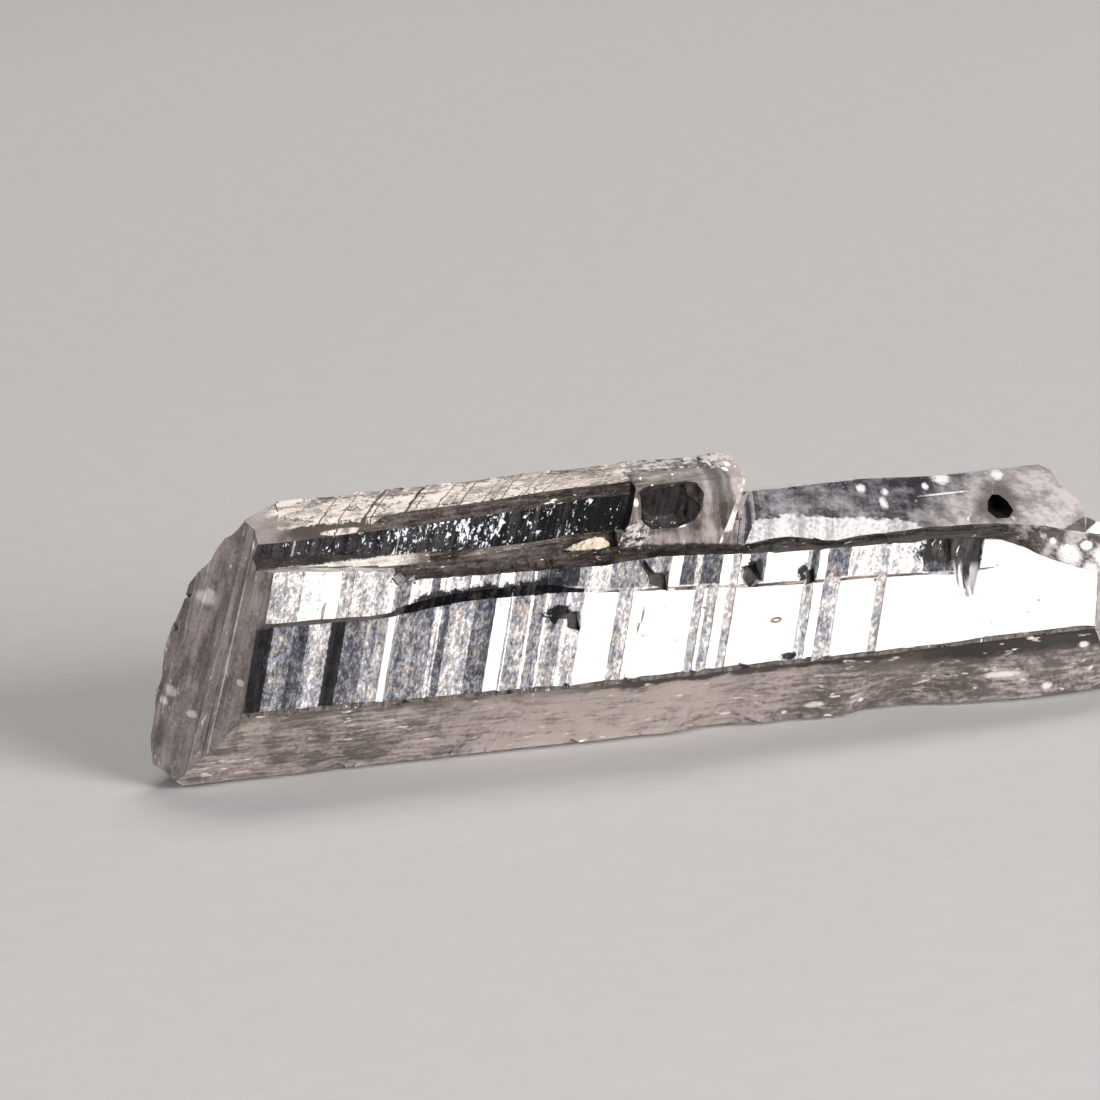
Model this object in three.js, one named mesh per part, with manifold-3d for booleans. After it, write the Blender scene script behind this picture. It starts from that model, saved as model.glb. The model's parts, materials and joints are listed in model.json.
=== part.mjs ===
// A nifontovite crystal: one long, clear, striated lath with a second, shorter crystal grown along its top,
// and a speck of cream-coloured matrix lodged in the re-entrant between the two.
// Millimetres, +Z up. The crystal lies on its flat underside with its broad striated face to the front (-Y).
import * as THREE from "three";
import { ConvexGeometry } from "three/addons/geometries/ConvexGeometry.js";
import { mergeVertices } from "three/addons/utils/BufferGeometryUtils.js";
import Module from "manifold-3d";

const wasm = await Module();
wasm.setup();

// ---------- driving dimensions, mm ----------

// "Along" is a distance along the crystal, measured on the front ridge; y runs back from the ridge.
// Growth lines cross the broad face at a slant: x moves this far for each mm of height.
const LEAN = 0.3;
const RIDGE_HEIGHT = 2.4; // the front ridge, the crystal's nearest edge
const FRONT_LEAN = 0.213; // the broad face leans back this far for each mm of height

// Lines that run the length of the lath, as [along, height].
const RIDGE = [[0, 2.58], [6.5, 2.45], [13.5, 2.3], [19.5, 2.34], [24, 2.29], [33, 2.4]];
const LAYER_LINE = [
  [0.6, 5.7], [2.9, 5.64], [5, 5.58], [5.4, 5.8], [6.3, 5.98], [8.3, 6.1], [10.8, 6.02], [12, 5.76],
  [13.5, 5.62], [16.4, 5.42], [18.9, 5.26], [21.7, 5.16], [24, 5.12], [26.2, 4.96],
];
const FACE_TOP = [
  [-8, 7.7], [0.3, 7.45], [2.9, 7.22], [4.8, 7.04], [5.4, 6.67], [12.7, 6.47], [15.1, 6.57], [20, 6.23],
  [23.3, 6.16], [27.3, 5.98], [28.1, 5.84], [29.2, 5.4], [30, 5], [31, 4.65], [31.9, 4.35], [40, 2.9],
];
const LEDGE = [
  [-8, 7.8], [2, 7.5], [6, 7.05], [9, 6.88], [12.8, 6.95], [16, 6.83], [18.4, 6.53], [19.9, 6.62],
  [21.7, 6.32], [25, 6.42], [27.5, 6.33], [29.6, 6.08], [32.2, 5.46], [40, 3.9],
];
const SHOULDER = [[-8, 8], [18, 7.4], [21.2, 7.15], [24.2, 6.92], [28, 6.85], [31, 6.6], [40, 5.2]];
const TOP = [[-8, 8.2], [23, 8.2], [26, 8.02], [40, 8.1]];

// The upper growth layer stands proud of the lower one by this lip, as [along, lip].
const LAYER_LIP = [[0, 0.28], [5.2, 0.12], [5.35, 0.24], [10.5, 0.1], [11.5, 0.05], [26.6, 0.05], [27.2, 0]];

// The lip's wall is this tall, as [along, height].
const LIP_WALL = [[0, 0.16], [5, 0.14], [5.6, 0.34], [10.6, 0.34], [11.8, 0.12], [33, 0.1]];

// How far behind the ridge the underside starts, as [along, y].
const BASE_FRONT = [
  [-2, 1.95], [9, 1.88], [12.6, 1.8], [14.4, 1.55], [16.3, 1.7], [17.2, 1.5], [18.3, 1.95], [19.1, 2.05],
  [19.8, 1.85], [20.4, 1.5], [22, 1.5], [22.6, 1.15], [23.9, 1.15], [24.8, 1.98], [26.6, 1.75], [27.6, 1.16],
  [29.4, 0.7], [30.5, 0.55], [32.4, 0.67], [33.3, 1],
];
const BASE_BACK = 6.4;
const DEPTH = 9.2; // to the keel along the back
const KEEL_HEIGHT = 3.6;

// Terraces of growth step the back in and out, as [along, how far out].
const BACK_TERRACE = [
  [-8, 0.1], [7.4, 0.1], [7.5, -0.12], [19.1, -0.12], [19.25, 0.12], [27, 0.12], [27.1, -0.1],
];

// Growth steps across the broad face: each starts at a distance along, has a width, and swells by a rise
// before it falls back. A rising step faces the left end, a sinking one the right.
const STEPS = [
  [0.28, 0.38, 0.05], [3.04, 0.42, 0.05], [5.08, 0.26, -0.02], [6.6, 0.3, -0.022], [7.15, 0.66, 0.055],
  [8.17, 0.66, 0.055], [8.98, 0.55, -0.045], [9.63, 0.52, 0.045], [10.3, 0.1, -0.01], [10.44, 0.26, 0.025],
  [10.85, 0.1, -0.01], [10.99, 0.52, 0.05], [13.55, 0.52, 0.055], [16.45, 0.3, 0.035], [16.93, 0.33, 0.04],
  [17.68, 0.28, 0.035], [20.55, 0.37, 0.045], [21.32, 0.59, 0.07], [23.39, 0.3, 0.035],
];
const RISER = 0.04; // the width of the wall that ends a growth step

// The shorter crystal on top: lines that run its length, as [along, height].
const SEAM = [[-4, 7.6], [1.5, 7.46], [5.2, 7.1], [9, 6.74], [12.8, 6.96]];
const SEAM_TOP = [[-4, 7.65], [1.5, 7.5], [5.4, 7.14], [9, 7.24], [12.2, 7.5]];
const BAND_FOOT = [[-4, 8], [1.5, 7.82], [5.2, 7.5], [9, 7.38], [12.8, 7.55]];
const BAND_TOP = [[-4, 8.3], [4, 8.4], [7.6, 8.5], [12, 8.78]];
const BEVEL_FOOT = [[-4, 8.8], [3.6, 8.88], [7.5, 9], [11.8, 9.2]];
const CREST = [[0, 9.45], [2, 9.52], [6, 9.6], [11, 9.62], [14, 9.68], [15.2, 9.56], [18, 9.74]];
const BLOCK_START = 13.5; // where its thicker, hollowed end begins

// The speck of matrix and the niche it sits in.
const NICHE = { from: 12.75, to: 14.75, shelf: 6.98, back: 1.95, height: 0.55 };

// ---------- small tools ----------

const UP = new THREE.Vector3(0, 0, 1);
const REACH = 60; // longer than anything it cuts

// A repeatable stream of numbers in 0..1.
function stream(seed) {
  let state = seed >>> 0;
  return () => {
    state = (state + 0x6d2b79f5) >>> 0;
    let t = Math.imul(state ^ (state >>> 15), 1 | state);
    t = (t + Math.imul(t ^ (t >>> 7), 61 | t)) ^ t;
    return ((t ^ (t >>> 14)) >>> 0) / 4294967296;
  };
}

// A repeatable stream of numbers in -0.5..0.5.
function jitter(seed) {
  const random = stream(seed);
  return () => random() - 0.5;
}

// Straight-line interpolation in a list of [place, value].
function at(table, place) {
  const next = table.findIndex(([p]) => p > place);
  if (next === 0) return table[0][1];
  if (next < 0) return table[table.length - 1][1];
  const [[p0, v0], [p1, v1]] = [table[next - 1], table[next]];
  return v0 + ((v1 - v0) * (place - p0)) / (p1 - p0);
}

// A point given by its distance along the crystal, y and z.
const place = (u, y, z) => new THREE.Vector3(u + LEAN * (z - RIDGE_HEIGHT), y, z);

// [y, z] of a point on the broad face at a height, standing out from it.
const onFace = (z, out) => [FRONT_LEAN * (z - RIDGE_HEIGHT) - out, z + out * FRONT_LEAN];

// A point on the broad face, from its distance along, height and how far it stands out.
const facePoint = (u, z, out) => place(u, ...onFace(z, out));

// A geometry as a manifold-3d solid.
function solidOf(geometry) {
  const bare = new THREE.BufferGeometry().setAttribute("position", geometry.getAttribute("position"));
  if (geometry.index) bare.setIndex(geometry.index);
  const merged = mergeVertices(bare, 1e-4);
  return new wasm.Manifold(
    new wasm.Mesh({
      numProp: 3,
      vertProperties: merged.attributes.position.array,
      triVerts: new Uint32Array(merged.index.array),
    }),
  );
}

// A manifold-3d solid as a flat-faced geometry.
function geometryOf(solid) {
  const mesh = solid.getMesh();
  const geometry = new THREE.BufferGeometry();
  geometry.setAttribute("position", new THREE.BufferAttribute(Float32Array.from(mesh.vertProperties), 3));
  geometry.setIndex(new THREE.BufferAttribute(Uint32Array.from(mesh.triVerts), 1));
  return geometry;
}

// The smallest convex solid around some points.
const hullOf = (points) => solidOf(new ConvexGeometry(points));

// A closed skin over rings of points, one ring per station, wound so that it faces out.
function skin(rings) {
  const count = rings[0].length;
  const faces = [];
  for (let r = 0; r + 1 < rings.length; r++)
    for (let i = 0; i < count; i++) {
      const a = r * count + i;
      const b = r * count + ((i + 1) % count);
      faces.push(a, b + count, b, a, a + count, b + count);
    }
  const flat = rings[0].map((p) => new THREE.Vector2(p.y, p.z));
  const last = (rings.length - 1) * count;
  for (const [a, b, c] of THREE.ShapeUtils.triangulateShape(flat, [])) {
    faces.push(a, c, b);
    faces.push(last + a, last + b, last + c);
  }
  const geometry = new THREE.BufferGeometry().setFromPoints(rings.flat());
  geometry.setIndex(faces);
  return solidOf(geometry);
}

// Everything on the outer side of a plane, as a block to cut with.
function beyond(point, normal) {
  const block = new THREE.BoxGeometry(REACH, REACH, REACH).translate(0, 0, REACH / 2);
  const turn = new THREE.Quaternion().setFromUnitVectors(UP, new THREE.Vector3(...normal).normalize());
  block.applyQuaternion(turn).translate(...point);
  return solidOf(block);
}

// As beyond, but the cutting face carries straight flutes that run along a direction. The profile is a list
// of [across, height], where across is measured square to the flutes.
function fluted(point, normal, run, profile) {
  const out = new THREE.Vector3(...normal).normalize();
  const axis = new THREE.Vector3(...run).projectOnPlane(out).normalize();
  const across = new THREE.Vector3().crossVectors(out, axis);
  const outline = new THREE.Shape();
  outline.moveTo(-REACH / 2, REACH);
  outline.lineTo(-REACH / 2, 0);
  for (const [t, height] of profile) outline.lineTo(t, height);
  outline.lineTo(REACH / 2, 0);
  outline.lineTo(REACH / 2, REACH);
  const block = new THREE.ExtrudeGeometry(outline, { depth: REACH, bevelEnabled: false });
  block.translate(0, 0, -REACH / 2);
  block.applyMatrix4(new THREE.Matrix4().makeBasis(across, out, axis));
  return solidOf(block.translate(...point));
}

// A wavy profile for fluted: waves of the given spacing and height between two places.
function waves(from, to, spacing, height, seed) {
  const random = stream(seed);
  const profile = [];
  for (let t = from; t < to; t += spacing * (0.5 + random())) profile.push([t, height * random()]);
  return profile;
}

// An irregular convex splinter with the given half sizes, drawn out to a tip, to bite a flake from an edge.
function splinter(centre, half, random, tip) {
  const corners = 9;
  const points = Array.from({ length: corners }, () => {
    const turn = random() * Math.PI * 2;
    const rise = random() * 2 - 1;
    const ring = Math.sqrt(1 - rise * rise);
    const [x, y] = [Math.cos(turn) * ring, Math.sin(turn) * ring];
    return new THREE.Vector3(x * half[0], y * half[1], rise * half[2]);
  });
  return hullOf([...points.map((p) => p.add(centre)), tip]);
}

// ---------- the lath ----------

// How far the broad face stands out at a distance along.
function relief(u) {
  let height = 0;
  for (const [start, width, rise] of STEPS) {
    if (u > start && u < start + width) height += (rise * (u - start)) / width;
  }
  return height;
}

// Stations along the lath: the ends of every growth step, and more between them.
function stationsOf(from, to, widest) {
  const justInside = 1e-3;
  const marks = new Set([from, to, ...BACK_TERRACE.slice(1).map(([u]) => u)]);
  for (const [start, width] of STEPS) {
    marks.add(start);
    marks.add(start + width - justInside);
    marks.add(start + width + RISER);
  }
  const sorted = [...marks].sort((a, b) => a - b);
  const all = [];
  sorted.forEach((u, i) => {
    all.push(u);
    const gap = (sorted[i + 1] ?? u) - u;
    const extra = Math.floor(gap / widest);
    for (let k = 1; k <= extra; k++) all.push(u + (gap * k) / (extra + 1));
  });
  return all;
}

// The lath's cross-section: lower bevel, ridge, broad face, rough ledge, upper slope, top, back, keel.
function lathRing(u, rough) {
  const out = relief(u);
  const ridge = at(RIDGE, u);
  const faceTop = at(FACE_TOP, u);
  const layer = Math.min(at(LAYER_LINE, u), faceTop - 0.35);
  const lip = at(LAYER_LIP, u);
  const ledge = at(LEDGE, u) + rough() * 0.08;
  const shoulder = at(SHOULDER, u);
  const top = at(TOP, u);
  const baseFront = at(BASE_FRONT, u);
  const terrace = at(BACK_TERRACE, u);
  const outline = [
    [baseFront + rough() * 0.16, 0],
    [baseFront * 0.78 + rough() * 0.1, 0.52 + rough() * 0.12],
    [baseFront * 0.5 + rough() * 0.08, 1.25 + rough() * 0.1],
    [baseFront * 0.4, 1.42 + rough() * 0.08],
    [0.07 + rough() * 0.05, ridge - 0.2],
    onFace(ridge + rough() * 0.05, rough() * 0.03),
    onFace(ridge + 0.16 + rough() * 0.06, out),
    onFace(layer - at(LIP_WALL, u) + rough() * 0.04, out),
    onFace(layer + rough() * 0.04, out + lip),
    onFace(faceTop + rough() * 0.05, out + lip),
    [1.2 + rough() * 0.14, (faceTop + ledge) / 2 - 0.03 + rough() * 0.06],
    [1.52 + rough() * 0.08, ledge - 0.07],
    [1.66 + rough() * 0.04, ledge + 0.04],
    [2.0, shoulder],
    [3.2 + rough() * 0.06, top + rough() * 0.05],
    [5.2, top - 0.3],
    [7.1 + terrace, 6.15],
    [7.3 + terrace, 5.75],
    [DEPTH + terrace / 2, KEEL_HEIGHT],
    [7.9 - terrace, 1.95],
    [BASE_BACK, 0],
  ];
  return outline.map(([y, z]) => place(u, y, z));
}

const lath = () => {
  const rough = jitter(11);
  return skin(stationsOf(-7, 37, 0.95).map((u) => lathRing(u, rough)));
};

// ---------- the shorter crystal on top ----------

function upperRing(u, rough) {
  const block = u > BLOCK_START;
  const crest = at(CREST, u) + rough() * 0.07;
  const front = block
    ? [
        [1.45, 7.02],
        [1.42, 7.3],
        [1.44, 7.8],
        [1.5, 8.5],
        [1.62, 9.02],
        [2.2, 9.3],
      ]
    : [
        [1.5, at(SEAM, u)],
        [1.5, at(SEAM_TOP, u)],
        [1.8, at(BAND_FOOT, u) + rough() * 0.03],
        [1.8, at(BAND_TOP, u) + rough() * 0.05],
        [2.14, at(BEVEL_FOOT, u) + rough() * 0.04],
        [2.9, (at(BEVEL_FOOT, u) + crest) / 2 + 0.05 + rough() * 0.04],
      ];
  const outline = [
    [1.6, 6.3],
    ...front,
    [3.7 + rough() * 0.1, crest],
    [5.3, crest - 0.5],
    [6.9, 7.5],
    [6.1, 6.2],
  ];
  return outline.map(([y, z]) => place(u, y, z));
}

// The hollow in the block's front: a rounded rectangle that narrows to a flat floor, seen in x and z.
function hollow() {
  const mouth = [
    [15.5, 8.9], [15.9, 9.18], [17.4, 9.22], [18, 9.05], [18.24, 8.6], [18.1, 8.05],
    [17.75, 7.6], [17, 7.38], [16, 7.42], [15.6, 7.75],
  ];
  const floor = [
    [15.9, 8.72], [17.6, 8.88], [17.7, 8.45], [17.35, 7.95], [16.9, 7.8], [16.3, 7.82], [15.95, 8.1],
  ];
  const mouthY = 1.25;
  const floorY = 2.25;
  return hullOf([
    ...mouth.map(([x, z]) => new THREE.Vector3(x, mouthY, z)),
    ...floor.map(([x, z]) => new THREE.Vector3(x, floorY, z)),
  ]);
}

function upperCrystal() {
  const rough = jitter(23);
  const spacing = 0.95;
  const turn = 0.12; // the block's near edge is this long
  const end = 19;
  const stations = [];
  for (let u = -5; u < BLOCK_START; u += spacing) stations.push(u);
  stations.push(BLOCK_START, BLOCK_START + turn);
  for (let u = BLOCK_START + spacing; u <= end; u += spacing) stations.push(u);
  let solid = skin(stations.map((u) => upperRing(u, rough)));
  const faces = [
    beyond([19.75, 1.7, 8.9], [1, -0.22, -0.35]), // the end
    beyond([19.12, 3.7, 9.71], [0.347, 0.09, 0.938]), // the corner above it
    beyond([19.85, 3.7, 9.43], [0.873, -0.17, 0.488]),
    beyond([19.5, 1.6, 8.6], [0.72, -0.68, -0.2]), // the bright sliver at its front
    beyond([19.6, 5.6, 8.5], [0.6, 0.78, 0.1]),
  ];
  for (const face of faces) solid = solid.subtract(face);
  return solid.subtract(hollow());
}

// ---------- ends, pits and flakes ----------

// The scalloped outlines of the two ends, in x and z, and the depth at which each is measured.
const LEFT_OUTLINE = {
  edge: [
    [3.35, 9.75], [3.12, 9.53], [2.6, 9.2], [2, 8.76], [1.6, 8.46], [1.2, 8.36], [0.82, 8], [0.49, 7.54],
    [-0.08, 7.2], [-0.5, 6.82], [-0.67, 6.25], [-1.25, 5.34], [-1.6, 4.6], [-1.64, 3.6], [-1.86, 3.07],
    [-1.95, 2.05], [-2.06, 1.5], [-1.92, 0.76], [-1.88, 0.4], [-1.6, 0.06], [-1.4, -0.3],
  ],
  corners: [[-9, -0.5], [-9, 12]],
  depth: 4,
  back: [0.55, -0.18], // the end draws in by this much in x and z for each mm further back
};
const RIGHT_OUTLINE = {
  edge: [
    [33.1, -0.3], [33.5, 0.6], [34.1, 1.7], [34.3, 3.4], [34, 4.6], [33.4, 5.3], [33.09, 5.62],
    [32.5, 5.94], [32.46, 6.56], [31.92, 7.25], [31.78, 7.82], [31.37, 8.1], [31.1, 8.3],
  ],
  corners: [[31.1, 12], [42, 12], [42, -0.5]],
  depth: 3.2,
  back: [-0.1, -0.2],
};

// Everything beyond an end's outline, as a block to cut with.
function endCut({ edge, corners, depth, back }) {
  const outline = new THREE.Shape([...edge, ...corners].map(([x, z]) => new THREE.Vector2(x, z)));
  const [nearY, farY] = [-2, 12];
  const block = new THREE.ExtrudeGeometry(outline, { depth: farY - nearY, bevelEnabled: false });
  const [dx, dz] = back;
  const far = farY - depth;
  const upright = new THREE.Matrix4().set(
    1, 0, -dx, dx * far,
    0, 0, -1, farY,
    0, 1, -dz, dz * far,
    0, 0, 0, 1,
  );
  block.applyMatrix4(upright);
  return solidOf(block);
}

// The left end: a fluted face to the front, and the scalloped outline behind it.
const leftEnd = [
  fluted([0.36, 0, 2.5], [-0.86, -0.56, 0.377], [0.32, 0.1, 1], waves(-6, 6, 0.75, 0.07, 31)),
  endCut(LEFT_OUTLINE),
  beyond([-1.8, 4, 0.24], [-0.61, 0.03, -0.79]),
];

// The right end: a front corner, two large faces and broken ground above and below.
const rightEnd = [
  beyond([32.17, 0, 2.4], [1, -1.16, 0.06]),
  fluted([33.9, 3, 4], [1, -0.2, 0.12], [0.1, 0, 1], waves(-5, 5, 0.9, 0.1, 43)),
  fluted([33.7, 5, 4.6], [0.78, 0.52, 0.28], [0.1, -0.3, 1], waves(-5, 5, 1.2, 0.2, 41)),
  endCut(RIGHT_OUTLINE),
];

// Pits in the broad face: corners as [along, height], a depth, and how wide the floor is for the mouth.
const PITS = [
  { corners: [[14.6, 6.02], [15.3, 6.04], [15.38, 5.38], [14.62, 5.66]], depth: 0.2, floor: 0.75 },
  { corners: [[14.1, 6.5], [14.3, 6.52], [14.9, 5.9], [14.6, 5.85]], depth: 0.12, floor: 0.75 },
  { corners: [[11.66, 5.07], [12.2, 4.97], [12.32, 4.29], [11.82, 4.45]], depth: 0.18, floor: 0.7 },
  { corners: [[18.2, 5.9], [18.55, 6], [18.95, 5.35], [18.5, 5.15], [18.2, 5.35]], depth: 0.16, floor: 0.6 },
  { corners: [[20.55, 5.5], [20.82, 5.6], [20.95, 5.12], [20.66, 5.04]], depth: 0.14, floor: 0.75 },
  { corners: [[25, 6.4], [26.05, 6.4], [26.35, 5.12], [25.75, 5.2], [25.3, 5.65]], depth: 0.3, floor: 0.35 },
  { corners: [[25.85, 6.4], [27.3, 6.4], [27.2, 4.02], [26.8, 3.98], [26.1, 5.3]], depth: 0.4, floor: 0.3 },
];

function pit({ corners, depth, floor }) {
  const mouth = 0.4; // the cutter starts this far in front of the face
  const middle = [0, 1].map((i) => corners.reduce((sum, c) => sum + c[i], 0) / corners.length);
  const shrunk = corners.map((c) => c.map((v, i) => middle[i] + (v - middle[i]) * floor));
  return hullOf([
    ...corners.map(([u, z]) => facePoint(u, z, mouth)),
    ...corners.map(([u, z]) => facePoint(u, z, 0)),
    ...shrunk.map(([u, z]) => facePoint(u, z, -depth)),
  ]);
}

// The hole in the upper slope near the right end: corners in x and z, and how far back it goes.
const HOLE = {
  corners: [
    [28.85, 6.75], [28.95, 7.15], [29.25, 7.42], [29.6, 7.38],
    [29.9, 7.05], [30, 6.65], [29.7, 6.42], [29.2, 6.45],
  ],
  back: 3.2,
};

function hole({ corners, back }) {
  const mouth = 1.5;
  const taper = 0.45;
  const middle = [0, 1].map((i) => corners.reduce((sum, c) => sum + c[i], 0) / corners.length);
  const shrunk = corners.map((c) => c.map((v, i) => middle[i] + (v - middle[i]) * taper));
  return hullOf([
    ...corners.map(([x, z]) => new THREE.Vector3(x, mouth, z)),
    ...shrunk.map(([x, z]) => new THREE.Vector3(x, back, z)),
  ]);
}

// Two cracks that cross the bevel on top of the shorter crystal, as narrow grooves.
const CRACKS = [
  { from: [6.95, 3.75, 9.75], to: [5.6, 2.1, 8.95] },
  { from: [8.5, 3.75, 9.75], to: [7.1, 2.1, 9] },
];

function crack({ from, to }) {
  const half = 0.08;
  const depth = 0.16;
  const lift = 0.3;
  const [a, b] = [new THREE.Vector3(...from), new THREE.Vector3(...to)];
  const run = b.clone().sub(a).normalize();
  const side = new THREE.Vector3().crossVectors(run, new THREE.Vector3(0, -0.45, 0.9)).normalize();
  const out = new THREE.Vector3().crossVectors(side, run).normalize();
  const points = [a, b].flatMap((p) => [
    p.clone().addScaledVector(out, -depth),
    p.clone().addScaledVector(out, lift).addScaledVector(side, half * 2),
    p.clone().addScaledVector(out, lift).addScaledVector(side, -half * 2),
  ]);
  return hullOf(points);
}

// Flakes broken from an edge: a run of splinters from one point to another, each opening outwards.
function flakes({ from, to, out, count, size, seed }) {
  const random = stream(seed);
  const [a, b] = [new THREE.Vector3(...from), new THREE.Vector3(...to)];
  const away = new THREE.Vector3(...out).normalize();
  return Array.from({ length: count }, (_, i) => {
    const centre = a.clone().lerp(b, (i + random()) / count);
    const scale = size * (0.5 + random());
    const tip = centre.clone().addScaledVector(away, scale * 2);
    return splinter(centre, [scale * 1.5, scale, scale * 0.8], random, tip);
  });
}

const BROKEN_EDGES = {
  lip: { from: [6.6, 0.85, 6.9], to: [7.3, 0.85, 6.75], out: [0, -0.8, 0.6], count: 1, size: 0.4, seed: 59 },
  ridge: { from: [0.5, 0, 2.5], to: [31, 0, 2.35], out: [0, -1, -0.2], count: 12, size: 0.13, seed: 61 },
  foot: { from: [-1, 2, 0], to: [31, 1.3, 0], out: [0, -1, -0.6], count: 10, size: 0.22, seed: 67 },
  crest: { from: [2.5, 3.7, 9.55], to: [18.5, 3.75, 9.7], out: [0, -0.2, 1], count: 8, size: 0.16, seed: 71 },
  top: { from: [20.6, 3.2, 8.22], to: [31, 3.2, 8.1], out: [0, -0.4, 1], count: 7, size: 0.2, seed: 73 },
  leftEnd: { from: [-0.6, 4, 6.5], to: [-2.2, 3.9, 1.2], out: [-1, 0, 0.1], count: 5, size: 0.22, seed: 79 },
  rightEnd: { from: [31.4, 3.2, 7.8], to: [33, 3, 6], out: [0.7, 0, 0.7], count: 4, size: 0.33, seed: 83 },
  back: { from: [0, 7.9, 1.95], to: [31, 7.9, 1.95], out: [0, 1, -1], count: 8, size: 0.3, seed: 89 },
  keel: { from: [1, 9.2, 3.6], to: [32, 9.2, 3.6], out: [0, 1, 0], count: 8, size: 0.28, seed: 97 },
};

const broken = [
  ...PITS.map(pit),
  ...CRACKS.map(crack),
  hole(HOLE),
  ...Object.values(BROKEN_EDGES).flatMap(flakes),
];

const niche = () => {
  const { from, to, shelf, back, height } = NICHE;
  const front = 0.6;
  const box = new THREE.BoxGeometry(to - from, back - front, height);
  return solidOf(box.translate((from + to) / 2, (back + front) / 2, shelf + height / 2));
};

let body = lath().add(upperCrystal());
for (const cut of [...leftEnd, ...rightEnd, ...broken, niche()]) body = body.subtract(cut);

// ---------- the speck of matrix ----------

// A lump with a flat underside, thin at its left and thickest near its right end, which fills its niche.
// Its sections are [distance from its left end, depth, height].
function grain() {
  const clearance = 0.06;
  const sections = [
    [0, 0.2, 0.12], [0.3, 0.42, 0.24], [0.7, 0.55, 0.36],
    [1.15, 0.6, 0.44], [1.5, 0.5, 0.4], [1.72, 0.28, 0.2],
  ];
  const rough = jitter(101);
  const back = NICHE.back - clearance;
  const points = sections.flatMap(([x, deep, high]) => {
    const start = NICHE.from + clearance + x;
    const point = (y, z) => new THREE.Vector3(start + rough() * 0.08, y, NICHE.shelf + z);
    return [
      point(back, 0),
      point(back - deep, 0),
      point(back - deep * 0.95, high * (0.55 + rough() * 0.2)),
      point(back - deep * 0.6, high * (1 + rough() * 0.15)),
      point(back - 0.04, high * (0.8 + rough() * 0.2)),
    ];
  });
  return hullOf(points);
}

// ---------- the object ----------

const crystal = new THREE.Mesh(
  geometryOf(body),
  new THREE.MeshStandardMaterial({ color: 0xe8e4e0, roughness: 0.08, metalness: 0 }),
);
crystal.name = "crystal";

const matrixGrain = new THREE.Mesh(
  geometryOf(grain()),
  new THREE.MeshStandardMaterial({ color: 0xe6d3a2, roughness: 0.85, metalness: 0 }),
);
matrixGrain.name = "matrix_grain";

// The part's origin is under the middle of its outline, on the surface it lies on.
const specimen = new THREE.Group();
specimen.add(crystal, matrixGrain);
const outline = new THREE.Box3().setFromObject(specimen);
const middle = outline.getCenter(new THREE.Vector3());
specimen.position.set(-middle.x, -middle.y, -outline.min.z);

const group = new THREE.Group();
group.add(specimen);
export default group;
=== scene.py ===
"""A nifontovite crystal on a pale studio floor.

The crystal is one clear, striated lath with a shorter crystal grown along its top, and a cream speck of
matrix sits in the re-entrant between them. Sizes below are millimetres in the crystal's own space: x runs
along it from its left corner, y goes back from the front ridge, z is up from the surface it lies on.
"""

from __future__ import annotations

import json
import logging
import math
import random
from dataclasses import dataclass, field
from enum import Enum
from typing import Callable, Mapping, Optional, Sequence, Union

import bpy
from mathutils import Matrix, Vector

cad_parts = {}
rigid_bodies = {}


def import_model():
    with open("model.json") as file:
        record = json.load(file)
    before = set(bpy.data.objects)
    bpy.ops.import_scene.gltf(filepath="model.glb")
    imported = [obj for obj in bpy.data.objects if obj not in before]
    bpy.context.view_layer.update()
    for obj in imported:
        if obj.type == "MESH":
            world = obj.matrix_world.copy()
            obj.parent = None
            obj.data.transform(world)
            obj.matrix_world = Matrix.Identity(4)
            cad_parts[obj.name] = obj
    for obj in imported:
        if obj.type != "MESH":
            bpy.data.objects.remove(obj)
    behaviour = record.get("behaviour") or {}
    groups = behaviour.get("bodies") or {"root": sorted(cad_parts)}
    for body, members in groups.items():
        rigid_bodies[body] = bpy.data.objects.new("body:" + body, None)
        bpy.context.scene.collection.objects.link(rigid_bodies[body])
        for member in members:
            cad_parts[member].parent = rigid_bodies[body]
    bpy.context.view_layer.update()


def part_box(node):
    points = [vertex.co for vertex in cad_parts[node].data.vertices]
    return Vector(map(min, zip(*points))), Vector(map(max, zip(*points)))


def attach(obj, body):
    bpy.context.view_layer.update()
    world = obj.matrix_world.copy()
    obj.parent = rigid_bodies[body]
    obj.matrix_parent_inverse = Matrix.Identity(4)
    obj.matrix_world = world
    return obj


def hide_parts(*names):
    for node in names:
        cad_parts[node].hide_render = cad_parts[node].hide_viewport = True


LOG = logging.getLogger("nifontovite")
MM = 0.001
SAME_POINT = 5e-7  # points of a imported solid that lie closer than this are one, in metres

Colour = tuple[float, float, float]
Table = Sequence[tuple[float, float]]
Ovals = tuple[tuple[float, ...], ...]  # each one's centre across and up, half width and half height
Socket = bpy.types.NodeSocket
Sockets = Mapping[Union[str, int], object]
Solid = bpy.types.Object

# ---------------------------------------------------------------- the crystal's own space

LEAN = 0.3  # growth lines move this far along for each mm of height
RIDGE_HEIGHT = 2.4
FRONT_LEAN = 0.213  # the broad face leans back this far for each mm of height
LOCAL_LOW = Vector((-2.44904, -0.04899, 0.0))  # the crystal's lowest corner in its own space

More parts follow.
